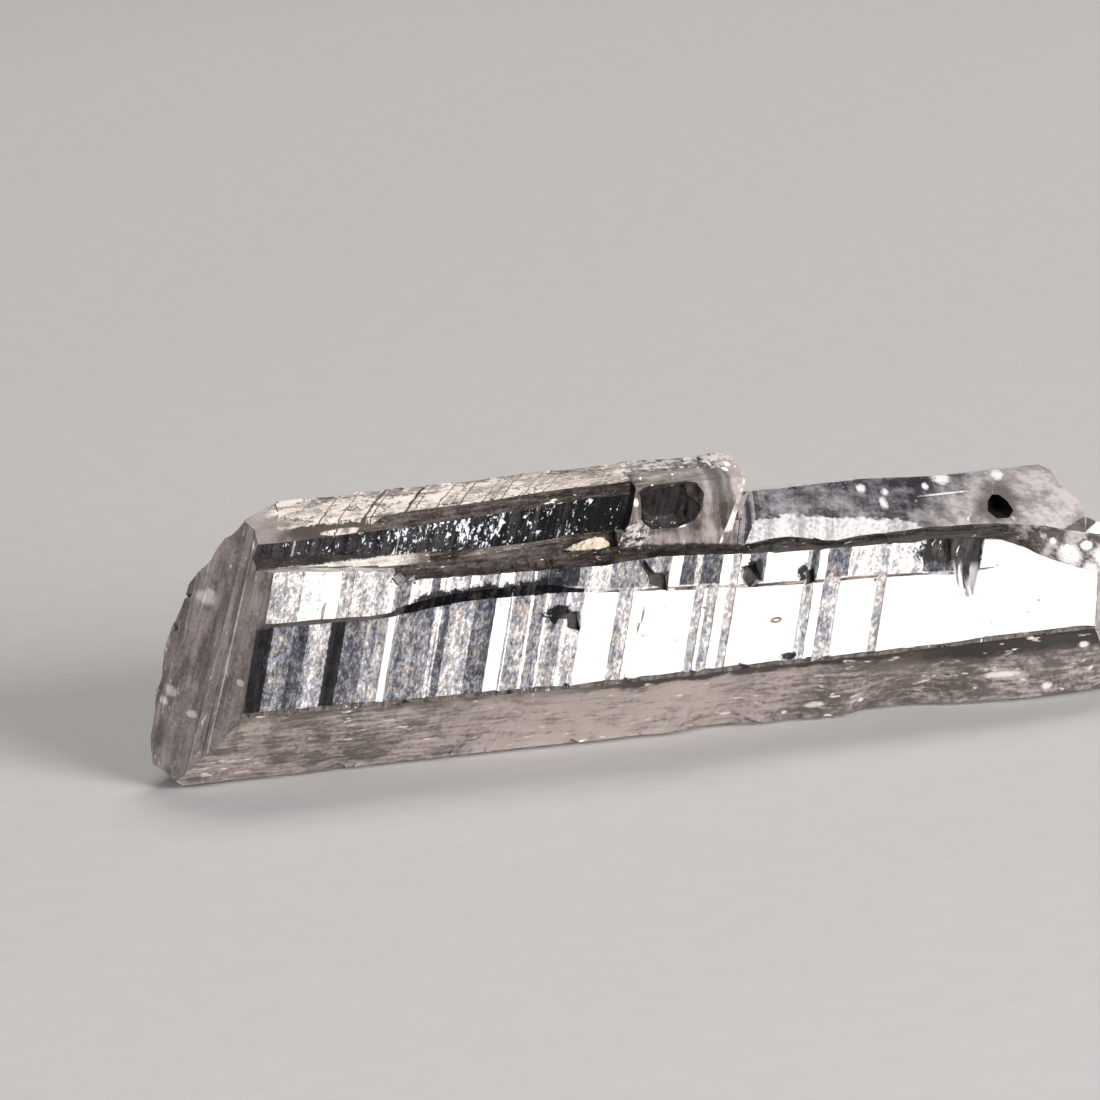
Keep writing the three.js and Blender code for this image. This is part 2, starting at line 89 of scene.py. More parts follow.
RIDGE: Table = ((0, 2.58), (6.5, 2.45), (13.5, 2.3), (19.5, 2.34), (24, 2.29), (33, 2.4))
LAYER_LINE: Table = (
    (0.6, 5.7), (2.9, 5.64), (5, 5.58), (5.4, 5.8), (6.3, 5.98), (8.3, 6.1), (10.8, 6.02), (12, 5.76),
    (13.5, 5.62), (16.4, 5.42), (18.9, 5.26), (21.7, 5.16), (24, 5.12), (26.2, 4.96),
)
FACE_TOP: Table = (
    (-8, 7.7), (0.3, 7.45), (2.9, 7.22), (4.8, 7.04), (5.4, 6.67), (12.7, 6.47), (15.1, 6.57), (20, 6.23),
    (23.3, 6.16), (27.3, 5.98), (28.1, 5.84), (29.2, 5.4), (30, 5), (31, 4.65), (31.9, 4.35), (40, 2.9),
)
LEDGE: Table = (
    (-8, 7.8), (2, 7.5), (6, 7.05), (9, 6.88), (12.8, 6.95), (16, 6.83), (18.4, 6.53), (19.9, 6.62),
    (21.7, 6.32), (25, 6.42), (27.5, 6.33), (29.6, 6.08), (32.2, 5.46), (40, 3.9),
)
BAND_FOOT: Table = ((-4, 8), (1.5, 7.82), (5.2, 7.5), (9, 7.38), (12.8, 7.55))
BAND_TOP: Table = ((-4, 8.3), (4, 8.4), (7.6, 8.5), (12, 8.78))
BEVEL_FOOT: Table = ((-4, 8.8), (3.6, 8.88), (7.5, 9), (11.8, 9.2))
SEAM_TOP: Table = ((-4, 7.65), (1.5, 7.5), (5.4, 7.14), (9, 7.24), (12.2, 7.5))
LEFT_EDGE: Table = (
    (0, -1.6), (1.5, -2.06), (3.6, -1.64), (5.34, -1.25), (6.82, -0.5), (7.54, 0.49), (8.4, 1.4), (9.5, 3.1),
)  # x of the left outline, by height, at LEFT_EDGE_DEPTH; it draws in further back
LEFT_EDGE_DEPTH = 4.0
LEFT_EDGE_BACK = 0.55
BLOCK_START = 13.5  # where the thick clear end of the upper crystal starts, along
INSIDE_COLOUR: Colour = (0.96, 0.93, 0.9)  # what the mineral lets through; all its faces share one inside
INSIDE_DENSITY = 12.0  # of the mineral's faint absorption, per metre

# How clean the broad face's growth lamellae are: where each starts, along, and 0 dark to 1 mirror-bright.
LOWER_LAMELLAE: Table = (
    (0, 0.12), (0.85, 0.5), (1.6, 0.32), (2.15, 0.62), (2.95, 0.12), (3.5, 0.45), (4.3, 0.6), (5, 0.97),
    (5.4, 0.5), (6.75, 0.78), (7, 0.48), (7.3, 0.7), (8.2, 0.42), (8.95, 1), (9.65, 0.62), (10.25, 0.95),
    (10.4, 0.6), (10.85, 0.92), (11.05, 0.64), (11.6, 0.9), (11.75, 0.72), (12.3, 1),
)
UPPER_LAMELLAE: Table = (
    (0, 0.7), (1.5, 0.9), (2.4, 1), (3.5, 0.74), (4.8, 0.95), (5.2, 0.5), (5.55, 0.85), (6.3, 0.35),
    (6.7, 1), (8.25, 0.62), (8.95, 0.95), (9.4, 0.68), (10.15, 0.92), (10.3, 0.45), (10.7, 0.16), (11.9, 0.6),
    (12.3, 0.8), (13.1, 0.56), (15.3, 0.95), (15.7, 0.36), (16.3, 0.8), (16.5, 0.42), (17.2, 1), (18.3, 0.45),
    (18.9, 1), (20.6, 0.4), (21, 0.95), (21.3, 0.5), (22.1, 0.84), (25, 0.3), (27.3, 1),
)


def at(table: Table, place: float) -> float:
    """Read a line through a list of points.

    Args:
        table: points as (place, value), in order of place.
        place: where to read it.

    Returns:
        The value there, held level beyond both ends.
    """
    if place <= table[0][0]:
        return table[0][1]
    for (p0, v0), (p1, v1) in zip(table, table[1:]):
        if place < p1:
            return v0 + (v1 - v0) * (place - p0) / (p1 - p0)
    return table[-1][1]


@dataclass(frozen=True)
class CrystalSpace:
    """The step between the scene's metres and the crystal's own millimetres."""

    shift: Vector

    @classmethod
    def from_frame(cls) -> CrystalSpace:
        """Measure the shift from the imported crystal's lowest corner."""
        low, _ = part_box("crystal")
        return cls(low / MM - LOCAL_LOW)

    def local(self, point: Vector) -> Vector:
        """Scene metres to the crystal's millimetres."""
        return point / MM - self.shift

    def scene(self, point: Vector) -> Vector:
        """The crystal's millimetres to scene metres."""
        return (point + self.shift) * MM


# ---------------------------------------------------------------- node maths


class Signal:
    """A number or a vector on its way through a material's nodes, with arithmetic."""

    def __init__(self, graph: Graph, socket: Socket) -> None:
        """Wrap an output socket of a graph's node."""
        self.graph = graph
        self.socket = socket

    def __add__(self, other: Term) -> Signal:
        """Sum."""
        return self.graph.math("ADD", self, other)

    def __sub__(self, other: Term) -> Signal:
        """Difference."""
        return self.graph.math("SUBTRACT", self, other)

    def __mul__(self, other: Term) -> Signal:
        """Product."""
        return self.graph.math("MULTIPLY", self, other)

    def __rsub__(self, other: Term) -> Signal:
        """Difference from a number on the left."""
        return self.graph.math("SUBTRACT", other, self)

    __radd__ = __add__
    __rmul__ = __mul__

    def most(self, other: Term) -> Signal:
        """The larger of two."""
        return self.graph.math("MAXIMUM", self, other)

    def least(self, other: Term) -> Signal:
        """The smaller of two."""
        return self.graph.math("MINIMUM", self, other)

    def size(self) -> Signal:
        """Absolute value."""
        return self.graph.math("ABSOLUTE", self)

    def ramp(self, low: float, high: float) -> Signal:
        """Rise smoothly from 0 at low to 1 at high; high may be below low.

        Args:
            low: where it is 0.
            high: where it is 1.

        Returns:
            The rise, held level beyond both ends.
        """
        node = self.graph.node(
            "ShaderNodeMapRange",
            {"interpolation_type": "SMOOTHSTEP"},
            {"Value": self, "From Min": low, "From Max": high},
        )
        return Signal(self.graph, node.outputs["Result"])

    def swing(self, reach: float) -> Signal:
        """Centre 0..1 on 0, and let it reach half of a distance to either side."""
        return (self - 0.5) * reach

    def span(self, low: float, high: float) -> Signal:
        """Stretch 0..1 to low..high."""
        return self * (high - low) + low


Term = Union[Signal, float, int]


class Graph:
    """The nodes of one material."""

    def __init__(self, name: str) -> None:
        """Start an empty material.

        Args:
            name: the material's name.
        """
        self.material = bpy.data.materials.new(name)
        self.material.use_nodes = True
        self.tree = self.material.node_tree
        self.tree.nodes.clear()

    def node(
        self,
        kind: str,
        settings: Optional[Mapping[str, object]] = None,
        sockets: Optional[Sockets] = None,
    ) -> bpy.types.Node:
        """Add one node.

        Args:
            kind: the node's type.
            settings: properties set first; "stops" fills a colour ramp.
            sockets: inputs by name or number, each a value, a Signal or an output socket.

        Returns:
            The new node.
        """
        node = self.tree.nodes.new(kind)
        for name, value in (settings or {}).items():
            if name == "stops":
                elements = node.color_ramp.elements
                for index, (position, colour) in enumerate(value):
                    stop = elements[index] if index < 2 else elements.new(position)
                    stop.position = position
                    stop.color = (*colour, 1)
            else:
                setattr(node, name, value)
        for name, value in (sockets or {}).items():
            target = node.inputs[name]
            if isinstance(value, Signal):
                self.tree.links.new(value.socket, target)
            elif isinstance(value, Socket):
                self.tree.links.new(value, target)
            elif isinstance(value, tuple) and len(value) == 3 and target.type == "RGBA":
                target.default_value = (*value, 1)
            else:
                target.default_value = value
        return node

    def math(self, operation: str, *terms: Term) -> Signal:
        """One Math node on numbers or signals."""
        node = self.node("ShaderNodeMath", {"operation": operation}, dict(enumerate(terms)))
        return Signal(self, node.outputs[0])

    def vector(self, x: Term, y: Term, z: Term) -> Signal:
        """Three numbers as a vector."""
        return Signal(self, self.node("ShaderNodeCombineXYZ", None, {0: x, 1: y, 2: z}).outputs[0])

    def scaled_sum(self, vector: object, factor: float, extra: object) -> Socket:
        """A vector times a factor, plus another vector."""
        sockets = {0: vector, 1: (factor,) * 3, 2: extra}
        return self.node("ShaderNodeVectorMath", {"operation": "MULTIPLY_ADD"}, sockets).outputs[0]

    def place(self, shift: Vector) -> tuple[Signal, Signal, Signal]:
        """The crystal's own x, y and z in millimetres.

        Args:
            shift: the crystal space's shift.

        Returns:
            The three coordinates.
        """
        coordinates = self.node("ShaderNodeTexCoord").outputs["Object"]
        scaled = self.scaled_sum(coordinates, 1 / MM, tuple(-shift))
        split = self.node("ShaderNodeSeparateXYZ", None, {0: scaled})
        x, y, z = (Signal(self, split.outputs[i]) for i in range(3))
        return x, y, z

    def noise(self, where: Signal, scale: float, detail: float = 2.0, rough: float = 0.5) -> Signal:
        """Cloud noise, 0..1."""
        sockets = {"Vector": where, "Scale": scale, "Detail": detail, "Roughness": rough}
        return Signal(self, self.node("ShaderNodeTexNoise", None, sockets).outputs["Fac"])

    def cells(self, where: Signal, scale: float, feature: str = "F1") -> bpy.types.Node:
        """A Voronoi node, whose Distance and Color are read by the caller."""
        return self.node("ShaderNodeTexVoronoi", {"feature": feature}, {"Vector": where, "Scale": scale})

    def table(self, where: Signal, points: Table, stepped: bool = False) -> Signal:
        """Read a table of (place, value) at a signal, with values of 0..1.

        Args:
            where: the place, as a signal.
            points: the table.
            stepped: hold each value up to the next place, instead of sloping to it.

        Returns:
            The value.
        """
        start, end = points[0][0], points[-1][0] + 0.001
        ramp = self.node(
            "ShaderNodeValToRGB",
            {"stops": [((p - start) / (end - start), (v, v, v)) for p, v in points]},
            {0: (where - start) * (1 / (end - start))},
        )
        ramp.color_ramp.interpolation = "CONSTANT" if stepped else "LINEAR"
        return self.grey(ramp.outputs["Color"])

    def line(self, where: Signal, points: Table) -> Signal:
        """Read a table of (place, value) at a signal, with values of any size.

        Args:
            where: the place, as a signal.
            points: the table.

        Returns:
            The value, sloping from each point to the next.
        """
        low = min(value for _, value in points)
        span = max(value for _, value in points) - low
        return self.table(where, [(place, (value - low) / span) for place, value in points]) * span + low

    def ovals(
        self,
        across: Signal,
        up: Signal,
        places: Ovals,
        rough: Signal,
        wander: float = 1.2,
        rim: tuple[float, float] = (1.5, 0.6),
    ) -> Signal:
        """Soft ovals, 0..1.

        Args:
            across: the first coordinate, as a signal.
            up: the second one.
            places: each oval's centre across and up, half width and half height.
            rough: a noise that breaks their rims.
            wander: how much it breaks them.
            rim: where each one fades in and where it is full, in its own half widths squared.

        Returns:
            Where they lie.
        """
        share: Signal = rough * 0.0
        for a, b, wide, tall in places:
            s = (across - a) * (1 / wide)
            t = (up - b) * (1 / tall)
            far = s * s + t * t + rough.swing(wander)
            share = share.most(far.ramp(*rim))
        return share

    def grey(self, colour: Socket) -> Signal:
        """The red channel of a colour as a number."""
        return Signal(self, self.node("ShaderNodeSeparateColor", None, {0: colour}).outputs[0])

    def blend(self, share: Term, first: object, second: object) -> Socket:
        """Mix two colours."""
        return self.node("ShaderNodeMix", {"data_type": "RGBA"}, {0: share, 6: first, 7: second}).outputs[2]

    def bump(self, height: Signal, depth: float, before: Optional[Socket] = None) -> object:
        """Relief of a depth in millimetres over a height of 0..1.

        Args:
            height: the relief's height, as a signal.
            depth: how deep it is, in mm.
            before: a relief that it lies over.

        Returns:
            The normal.
        """
        sockets: dict[Union[str, int], object] = {"Height": height, "Distance": depth * MM, "Strength": 1.0}
        if before is not None:
            sockets["Normal"] = before
        return self.node("ShaderNodeBump", None, sockets).outputs["Normal"]

    def finish(self, shader: Socket, inside: Optional[Socket] = None) -> bpy.types.Material:
        """Join the shader, and what fills the body, to the output.

        Args:
            shader: the surface.
            inside: what fills the body, if it isn't empty.

        Returns:
            The finished material.
        """
        output = self.node("ShaderNodeOutputMaterial", None, {"Surface": shader})
        if inside is not None:
            self.tree.links.new(inside, output.inputs["Volume"])
        return self.material

    def principled(self, sockets: Sockets) -> Socket:
        """A Principled shader with these inputs."""
        return self.node("ShaderNodeBsdfPrincipled", None, sockets).outputs[0]

    def mix(self, share: Term, first: Socket, second: Socket) -> Socket:
        """Mix two shaders."""
        return self.node("ShaderNodeMixShader", None, {0: share, 1: first, 2: second}).outputs[0]


# ---------------------------------------------------------------- finishes


class Grain(Enum):
    """Which way the fine lines of a face run."""

    GROWTH = "growth"  # up the broad face, leaning with the growth lines
    LENGTH = "length"  # along the crystal
    END = "end"  # up the left end


@dataclass(frozen=True)
class Spot:
    """The signals a finish works from: where a point is, and the noises every face shares."""

    graph: Graph
    x: Signal
    y: Signal
    z: Signal
    here: Signal
    slant: Signal  # how far along the growth line through this point meets the ridge
    lines: Signal
    clouds: Signal
    grit: Signal

    def wobble(self, grit: float, clouds: float) -> Signal:
        """A shift in millimetres that makes an edge ragged: finely by grit, slowly by clouds."""
        return self.grit.swing(grit) + self.clouds.swing(clouds)

    def streaks(self, stretch: float, scale: float, detail: float = 3.0, rough: float = 0.6) -> Signal:
        """Noise drawn out up the growth lines; the smaller the stretch, the longer its streaks."""
        return self.graph.noise(self.graph.vector(self.slant, 0.0, self.z * stretch), scale, detail, rough)


@dataclass(frozen=True)
class CrystalFinish:
    """The surface of one kind of face: clear glassy mineral under a veil, lines, grit, dust, painted sparkle.

    Depths are millimetres and scales are per millimetre.
    """

    name: str
    tint: Colour = (0.97, 0.955, 0.945)
    polish: tuple[float, float] = (0.02, 0.07)
    veil: Colour = (0.62, 0.56, 0.53)
    veil_low: Colour = (0.3, 0.27, 0.26)
    veil_share: tuple[float, float] = (0.0, 0.0)
    veil_scale: float = 1.2
    veil_rough: float = 0.6
    sheen: float = 0.4  # how strongly the veil reflects
    tone_along: Table = ((0, 0.5), (33, 0.5))  # where the veil is lighter, along; 0.5 is neutral
    tone_spread: float = 0.12  # the smaller, the starker the veil's mottling
    lines: Grain = Grain.GROWTH
    line_depth: float = 0.006
    line_scale: float = 5.0
    line_stretch: float = 0.1  # how fast things change along the lines, against across them
    grit_depth: float = 0.003
    grit_scale: float = 12.0
    # painted sparkle: how much of the face carries bright specks for the glitter of tiny facets; where dull,
    # they are pale grains
    sparkle_flecks: float = 0.0
    fleck_scale: float = 5.0
    fleck_stretch: float = 0.5
    sparkle_colour: Colour = (0.85, 0.82, 0.8)
    fleck_edge: float = 0.05  # how softly a fleck fades out
    fleck_rough: float = 0.3
    painted_glints: Ovals = ()  # painted highlights: single bright spots, centre in x and z, half width and height
    dust: float = 0.0
    dust_colour: Colour = (0.2, 0.15, 0.11)
    dust_rough: float = 0.9
    dust_scale: float = 4.2
    ior: float = 1.58

    def along_lines(self, graph: Graph, x: Signal, y: Signal, z: Signal, stretch: float = 0.1) -> Signal:
        """A vector that changes fast across the face's lines and slowly along them.

        Args:
            graph: the material's nodes.
            x: the place along the crystal.
            y: the place towards its back.
            z: the height.
            stretch: how fast it changes along the lines.

        Returns:
            The vector.
        """
        slant = x - z * LEAN
        if self.lines is Grain.GROWTH:
            return graph.vector(slant, y * stretch, z * (stretch * 0.6))
        if self.lines is Grain.LENGTH:
            return graph.vector(x * stretch, y, z)
        return graph.vector(x - z * 0.32, y - z * 0.1, z * stretch)

    def spot(self, graph: Graph, space: CrystalSpace) -> Spot:
        """Gather the signals of a point.

        Args:
            graph: the material's nodes.
            space: the crystal's own space.

        Returns:
            The signals.
        """
        x, y, z = graph.place(space.shift)
        here = graph.vector(x, y, z)
        return Spot(
            graph, x, y, z, here, x - z * LEAN + LEAN * RIDGE_HEIGHT,
            lines=graph.noise(
                self.along_lines(graph, x, y, z, self.line_stretch), self.line_scale, 5.0, 0.62,
            ),
            clouds=graph.noise(here, self.veil_scale, 4.0, 0.6),
            grit=graph.noise(here, self.grit_scale, 3.0, 0.6),
        )

    def relief(self, spot: Spot) -> Socket:
        """The face's fine relief, as a normal."""
        lined = spot.graph.bump(spot.lines, self.line_depth)
        return spot.graph.bump(spot.grit, self.grit_depth, lined)

    def cover(self, spot: Spot) -> Signal:
        """How much of the veil covers the clear mineral, as 0..1."""
        share = (spot.clouds * 0.55 + spot.lines * 0.25 + spot.grit * 0.2).ramp(0.36, 0.64)
        return share.span(*self.veil_share)

    def veil_tone(self, spot: Spot) -> Socket:
        """The veil's colour, mottled and streaked.

        Args:
            spot: the signals of a point.

        Returns:
            The colour.
        """
        tone = spot.graph.table(spot.slant, self.tone_along) - 0.5
        share = spot.lines * 0.45 + spot.grit * 0.25 + spot.clouds * 0.3 + tone * 0.3
        share = share.ramp(0.5 - self.tone_spread, 0.5 + self.tone_spread)
        return spot.graph.blend(share, self.veil_low, self.veil)

    def material(self, space: CrystalSpace) -> bpy.types.Material:
        """Build the material.

        Args:
            space: the crystal's own space.

        Returns:
            The finished material.
        """
        graph = Graph(self.name)
        spot = self.spot(graph, space)
        relief = self.relief(spot)
        wear = (spot.clouds * 0.6 + spot.grit * 0.4).ramp(0.35, 0.68)
        shader = graph.principled({
            "Base Color": self.tint, "Roughness": wear.span(*self.polish), "IOR": self.ior,
            "Transmission Weight": 1.0, "Normal": relief,
        })
        if self.veil_share[1] > 0:
            veil = graph.principled({
                "Base Color": self.veil_tone(spot), "Roughness": self.veil_rough, "IOR": self.ior,
                "Specular IOR Level": self.sheen, "Normal": relief,
            })
            shader = graph.mix(self.cover(spot), shader, veil)
        # painted sparkle and painted highlights, mixed over the surface
        if self.sparkle_flecks > 0:
            sparkle_shader = {"Base Color": self.sparkle_colour, "Roughness": self.fleck_rough, "Normal": relief}
            shader = graph.mix(self.sparkle_share(spot), shader, graph.principled(sparkle_shader))
        if self.dust > 0:
            speck = {"Base Color": self.dust_colour, "Roughness": self.dust_rough}
            shader = graph.mix(self._dust(spot), shader, graph.principled(speck))
        absorption = {"Color": INSIDE_COLOUR, "Density": INSIDE_DENSITY}
        return graph.finish(shader, graph.node("ShaderNodeVolumeAbsorption", None, absorption).outputs[0])

    def sparkle_share(self, spot: Spot) -> Signal:
        """Where the painted sparkle lies, 0..1: irregular specks in clusters, drawn out along the lines.

        Args:
            spot: the signals of a point.

        Returns:
            Their share.
        """
        graph = spot.graph
        where = self.along_lines(graph, spot.x, spot.y, spot.z, self.fleck_stretch)
        sparkle_dots = graph.noise(where, self.fleck_scale, 2.0, 0.6)
        cluster = graph.noise(spot.here, self.fleck_scale * 0.16, 2.0, 0.5)
        edge = 0.74 - self.sparkle_flecks * 0.2
        share = (sparkle_dots + cluster.swing(0.35)).ramp(edge, edge + self.fleck_edge)
        # painted highlights at the listed places, with soft, broken rims
        if self.painted_glints:
            rough = spot.grit * 0.6 + spot.lines * 0.4
            share = share.most(graph.ovals(spot.x, spot.z, self.painted_glints, rough, 6.0, (2.4, 0.2)))
        return share

    def _dust(self, spot: Spot) -> Signal:
        """Where the dust specks lie, as 0..1.

        Args:
            spot: the signals of a point.

        Returns:
            Their share.
        """
        graph = spot.graph
        swirl = graph.node("ShaderNodeTexNoise", None, {"Vector": spot.here, "Scale": 9.0})
        bent = graph.scaled_sum(swirl.outputs["Color"], 0.12, spot.here)
        fine = graph.cells(Signal(graph, bent), self.dust_scale)
        pick = graph.grey(fine.outputs["Color"]).ramp(1 - self.dust, 1 - self.dust * 0.6)
        near = Signal(graph, fine.outputs["Distance"]).ramp(0.16, 0.1)
        return pick * near


@dataclass(frozen=True)
class BroadFinish(CrystalFinish):
    """The broad face: mirror-bright lamellae to the right, and etched, mottled ones to the left."""

    least_etched: float = 0.0  # every part is at least this far from clean
    etch_depth: float = 0.003
    etch_scale: float = 9.0
    sheen: float = 0.08
    veil_share: tuple[float, float] = (0.0, 0.98)
    black: Colour = (0.006, 0.006, 0.009)
    slate: Colour = (0.07, 0.073, 0.092)
    blue: Colour = (0.3, 0.305, 0.35)
    warm: Colour = (0.37, 0.325, 0.305)
    pale: Colour = (0.95, 0.9, 0.88)
    specks: Ovals = (
        (19.72, 3.92, 0.19, 0.1), (14.6, 4.62, 0.035, 0.26), (14.5, 4.2, 0.03, 0.22),
        (23.3, 4.95, 0.07, 0.06), (16.9, 4.62, 0.05, 0.05),
    )
    blots: Ovals = (
        (18.5, 5.75, 0.36, 0.36), (20.45, 5.5, 0.18, 0.3), (20.4, 2.62, 0.3, 0.13), (11.35, 4.95, 0.5, 0.28),
        (25.6, 5.75, 0.8, 0.4),
    )
    flake_heart: tuple[float, ...] = (19.72, 3.92, 0.1, 0.035)

    def layer_height(self, spot: Spot) -> Signal:
        """The height of the line between the two growth layers, at this distance along.

        Args:
            spot: the signals of a point.

        Returns:
            The height, in mm.
        """
        u = spot.slant
        right = (u - 13.4).most(0.0) * -0.05
        return u.ramp(5.0, 6.6) * 0.48 - u.ramp(10.6, 13.4) * 0.46 + right + 5.6

    def shade(self, spot: Spot) -> Signal:
        """Painted shadow, dark and ragged, on both sides of the upper layer's lip, with the blots, 0..1.

        Args:
            spot: the signals of a point.

        Returns:
            Its share.
        """
        u = spot.slant
        drop = spot.z - self.layer_height(spot)
        blots = spot.graph.noise(spot.here, 2.4, 3.0, 0.65)
        ragged = drop + blots.swing(0.6) + spot.grit.swing(0.3)
        core = ragged.ramp(-0.2, -0.04) * ragged.ramp(0.2, 0.04)
        skirt = ragged.ramp(-0.7, -0.1) * ragged.ramp(0.2, 0.04)
        ends = u.ramp(4.9, 5.9) * u.ramp(12.2, 11.2)
        # painted shadow along both sides of the lip, where the upper layer overhangs
        painted_shadow = (core * 0.66 + skirt * 0.2) * ends
        feathered = blots * 0.6 + spot.grit * 0.4
        return painted_shadow.most(spot.graph.ovals(u, spot.z, self.blots, feathered, 6.0) * 0.85)

    def clean(self, spot: Spot) -> Signal:
        """How clean the lamella is, 0..1.

        Args:
            spot: the signals of a point.

        Returns:
            How clean it is; a little below 0 in the painted shadow.
        """
        graph = spot.graph
        u = spot.slant + spot.wobble(0.08, 0.1)
        above = (spot.z - self.layer_height(spot)).ramp(-0.06, 0.06)
        lower = graph.table(u, LOWER_LAMELLAE, stepped=True)
        upper = graph.table(u, UPPER_LAMELLAE, stepped=True)
        value = lower + (upper - lower) * above
        # the painted shadow darkens the lamellae
        shade = self.shade(spot)
        return value.least(1.0 - self.least_etched) * (1.0 - shade) - shade * 0.12

    def marks(self, spot: Spot) -> Signal:
        """Bright etched marks on a dark ground, 0..1: grains, streaks up the growth lines, and mottling.

        Args:
            spot: the signals of a point.

        Returns:
            Their share.
        """
        graph = spot.graph
        grains = graph.noise(graph.vector(spot.slant, spot.y, spot.z * 0.6), self.etch_scale, 4.0, 0.8)
        streaks = spot.streaks(0.1, 3.4)
        mottle = graph.noise(spot.here, 1.9, 3.0, 0.6)
        return grains * 0.56 + streaks * 0.24 + mottle * 0.2

    def relief(self, spot: Spot) -> Socket:
        """Etched marks over the faintest growth lines, as a normal.

        Args:
            spot: the signals of a point.

        Returns:
            The normal.
        """
        graph = spot.graph
        faint = graph.bump(spot.lines, 0.0006)
        return graph.bump(self.marks(spot) * self.clean(spot).ramp(1.0, 0.8), self.etch_depth, faint)

    def cover(self, spot: Spot) -> Signal:
        """The etched lamellae carry a milky bloom; clean ones are bare."""
        return self.clean(spot).ramp(1.0, 0.85).span(*self.veil_share)

    def veil_tone(self, spot: Spot) -> Socket:
        """Black to slate to a bluish or warm grey to near white.

        Args:
            spot: the signals of a point.

        Returns:
            The colour.
        """
        graph = spot.graph
        hue = graph.noise(spot.here, 2.6, 2.0, 0.6).ramp(0.42, 0.58)
        middle = graph.blend(hue, self.blue, self.warm)
        share = (self.marks(spot) - 0.5) * 2.6 + self.clean(spot)
        dark = graph.blend(share.ramp(0.05, 0.42), self.black, self.slate)
        light = graph.blend(share.ramp(0.62, 0.95), middle, self.pale)
        return graph.blend(share.ramp(0.36, 0.68), dark, light)

    def _dust(self, spot: Spot) -> Signal:
        """Dust, with a flake, two scratches and two small specks.

        Args:
            spot: the signals of a point.

        Returns:
            Their share.
        """
        marks = spot.graph.ovals(spot.slant, spot.z, self.specks, spot.grit)
        flake = spot.graph.ovals(spot.slant, spot.z, (self.flake_heart,), spot.grit)
        return super()._dust(spot).most(marks) * (1.0 - flake)


@dataclass(frozen=True)
class CreamFinish(CrystalFinish):
    """The cream bevel, crossed by slanting cracks."""

    cracks: tuple[tuple[float, float], ...] = (
        (2.3, 0.025), (3.0, 0.02), (3.92, 0.07), (4.2, 0.025), (5.42, 0.06), (5.75, 0.02), (6.6, 0.03),
        (7.1, 0.02), (7.43, 0.035), (8.3, 0.02), (8.65, 0.02), (9.0, 0.03), (9.8, 0.02), (10.6, 0.03),
    )
    crack_slant: float = 0.81
    foot_top: Table = ((-0.5, 8.5), (0.3, 8.72), (2.3, 8.84), (3.6, 8.74), (5.2, 8.4), (6, 8))
    foot_patch: tuple[float, ...] = (2.95, 8.5, 0.72, 0.1)
    dark: Colour = (0.05, 0.04, 0.036)
    brown: Colour = (0.27, 0.22, 0.2)
    corner: Colour = (0.3, 0.255, 0.24)

    def veil_tone(self, spot: Spot) -> Socket:
        """Cream with brown patches, dark cracks and scribbles, a dark foot and a greyer corner.

        Args:
            spot: the signals of a point.

        Returns:
            The colour.
        """
        graph = spot.graph
        bent = spot.x - spot.y * self.crack_slant + spot.wobble(0.16, 0.35)
        open_ground: Term = 1.0
        for position, width in self.cracks:
            open_ground = (bent - position).size().ramp(width * 0.6, width * 1.7) * open_ground
        patches = graph.noise(graph.vector(bent * 0.7, spot.y, spot.z), 1.6, 4.0, 0.65)
        veined = Signal(graph, graph.cells(
            graph.vector(bent * 0.45 + spot.clouds.swing(1.6), spot.y * 1.2 + spot.grit * 0.5, spot.z * 1.2),
            1.5, "DISTANCE_TO_EDGE",
        ).outputs["Distance"])
        scribbles = veined.ramp(0.02, 0.055).most(patches.ramp(0.52, 0.42) * spot.x.ramp(12.5, 8.0))
        plain = graph.blend(patches.ramp(0.5, 0.62), super().veil_tone(spot), self.brown)
        cracked = graph.blend(open_ground.least(scribbles), self.dark, plain)
        foot = graph.line(spot.slant, self.foot_top) - spot.z + spot.grit.swing(0.3) + patches.swing(0.2)
        patch = graph.ovals(spot.slant, spot.z, (self.foot_patch,), spot.grit)
        cracked = graph.blend(foot.ramp(-0.03, 0.05) * (1.0 - patch), cracked, self.dark)
        left = (spot.x + spot.clouds.swing(2.0)).ramp(2.1, 3.1)
        return graph.blend(left, self.corner, cracked)


@dataclass(frozen=True)
class BandFinish(CrystalFinish):
    """The smoky band: near black, with fine grit, faint upright lines and bluish painted sparkle in clusters.
    """

    clusters: Table = (
        (0, 0), (1.2, 0), (2.6, 0.35), (3.6, 0.3), (4.6, 0.75), (6.2, 0.9), (8.4, 1), (9.2, 0.6), (10.6, 0.4),
        (13, 0.2),
    )

    def sparkle_share(self, spot: Spot) -> Signal:
        """Painted sparkle that crowds in the middle of the band.

        Args:
            spot: the signals of a point.

        Returns:
            Their share.
        """
        graph = spot.graph
        where = graph.vector(spot.slant, spot.y, spot.z * 0.55)
        sparkle_dots = graph.noise(where, self.fleck_scale, 3.0, 0.7)
        cluster = spot.streaks(0.6, 1.1, 2.0, 0.5)
        crowd = sparkle_dots * 0.7 + cluster * 0.3 + graph.table(spot.slant, self.clusters) * 0.065
        share = crowd.ramp(0.61, 0.65)
        threads = spot.streaks(0.03, 2.6, 2.0).ramp(0.69, 0.7)
        return (share + threads * 0.35).least(1.0)


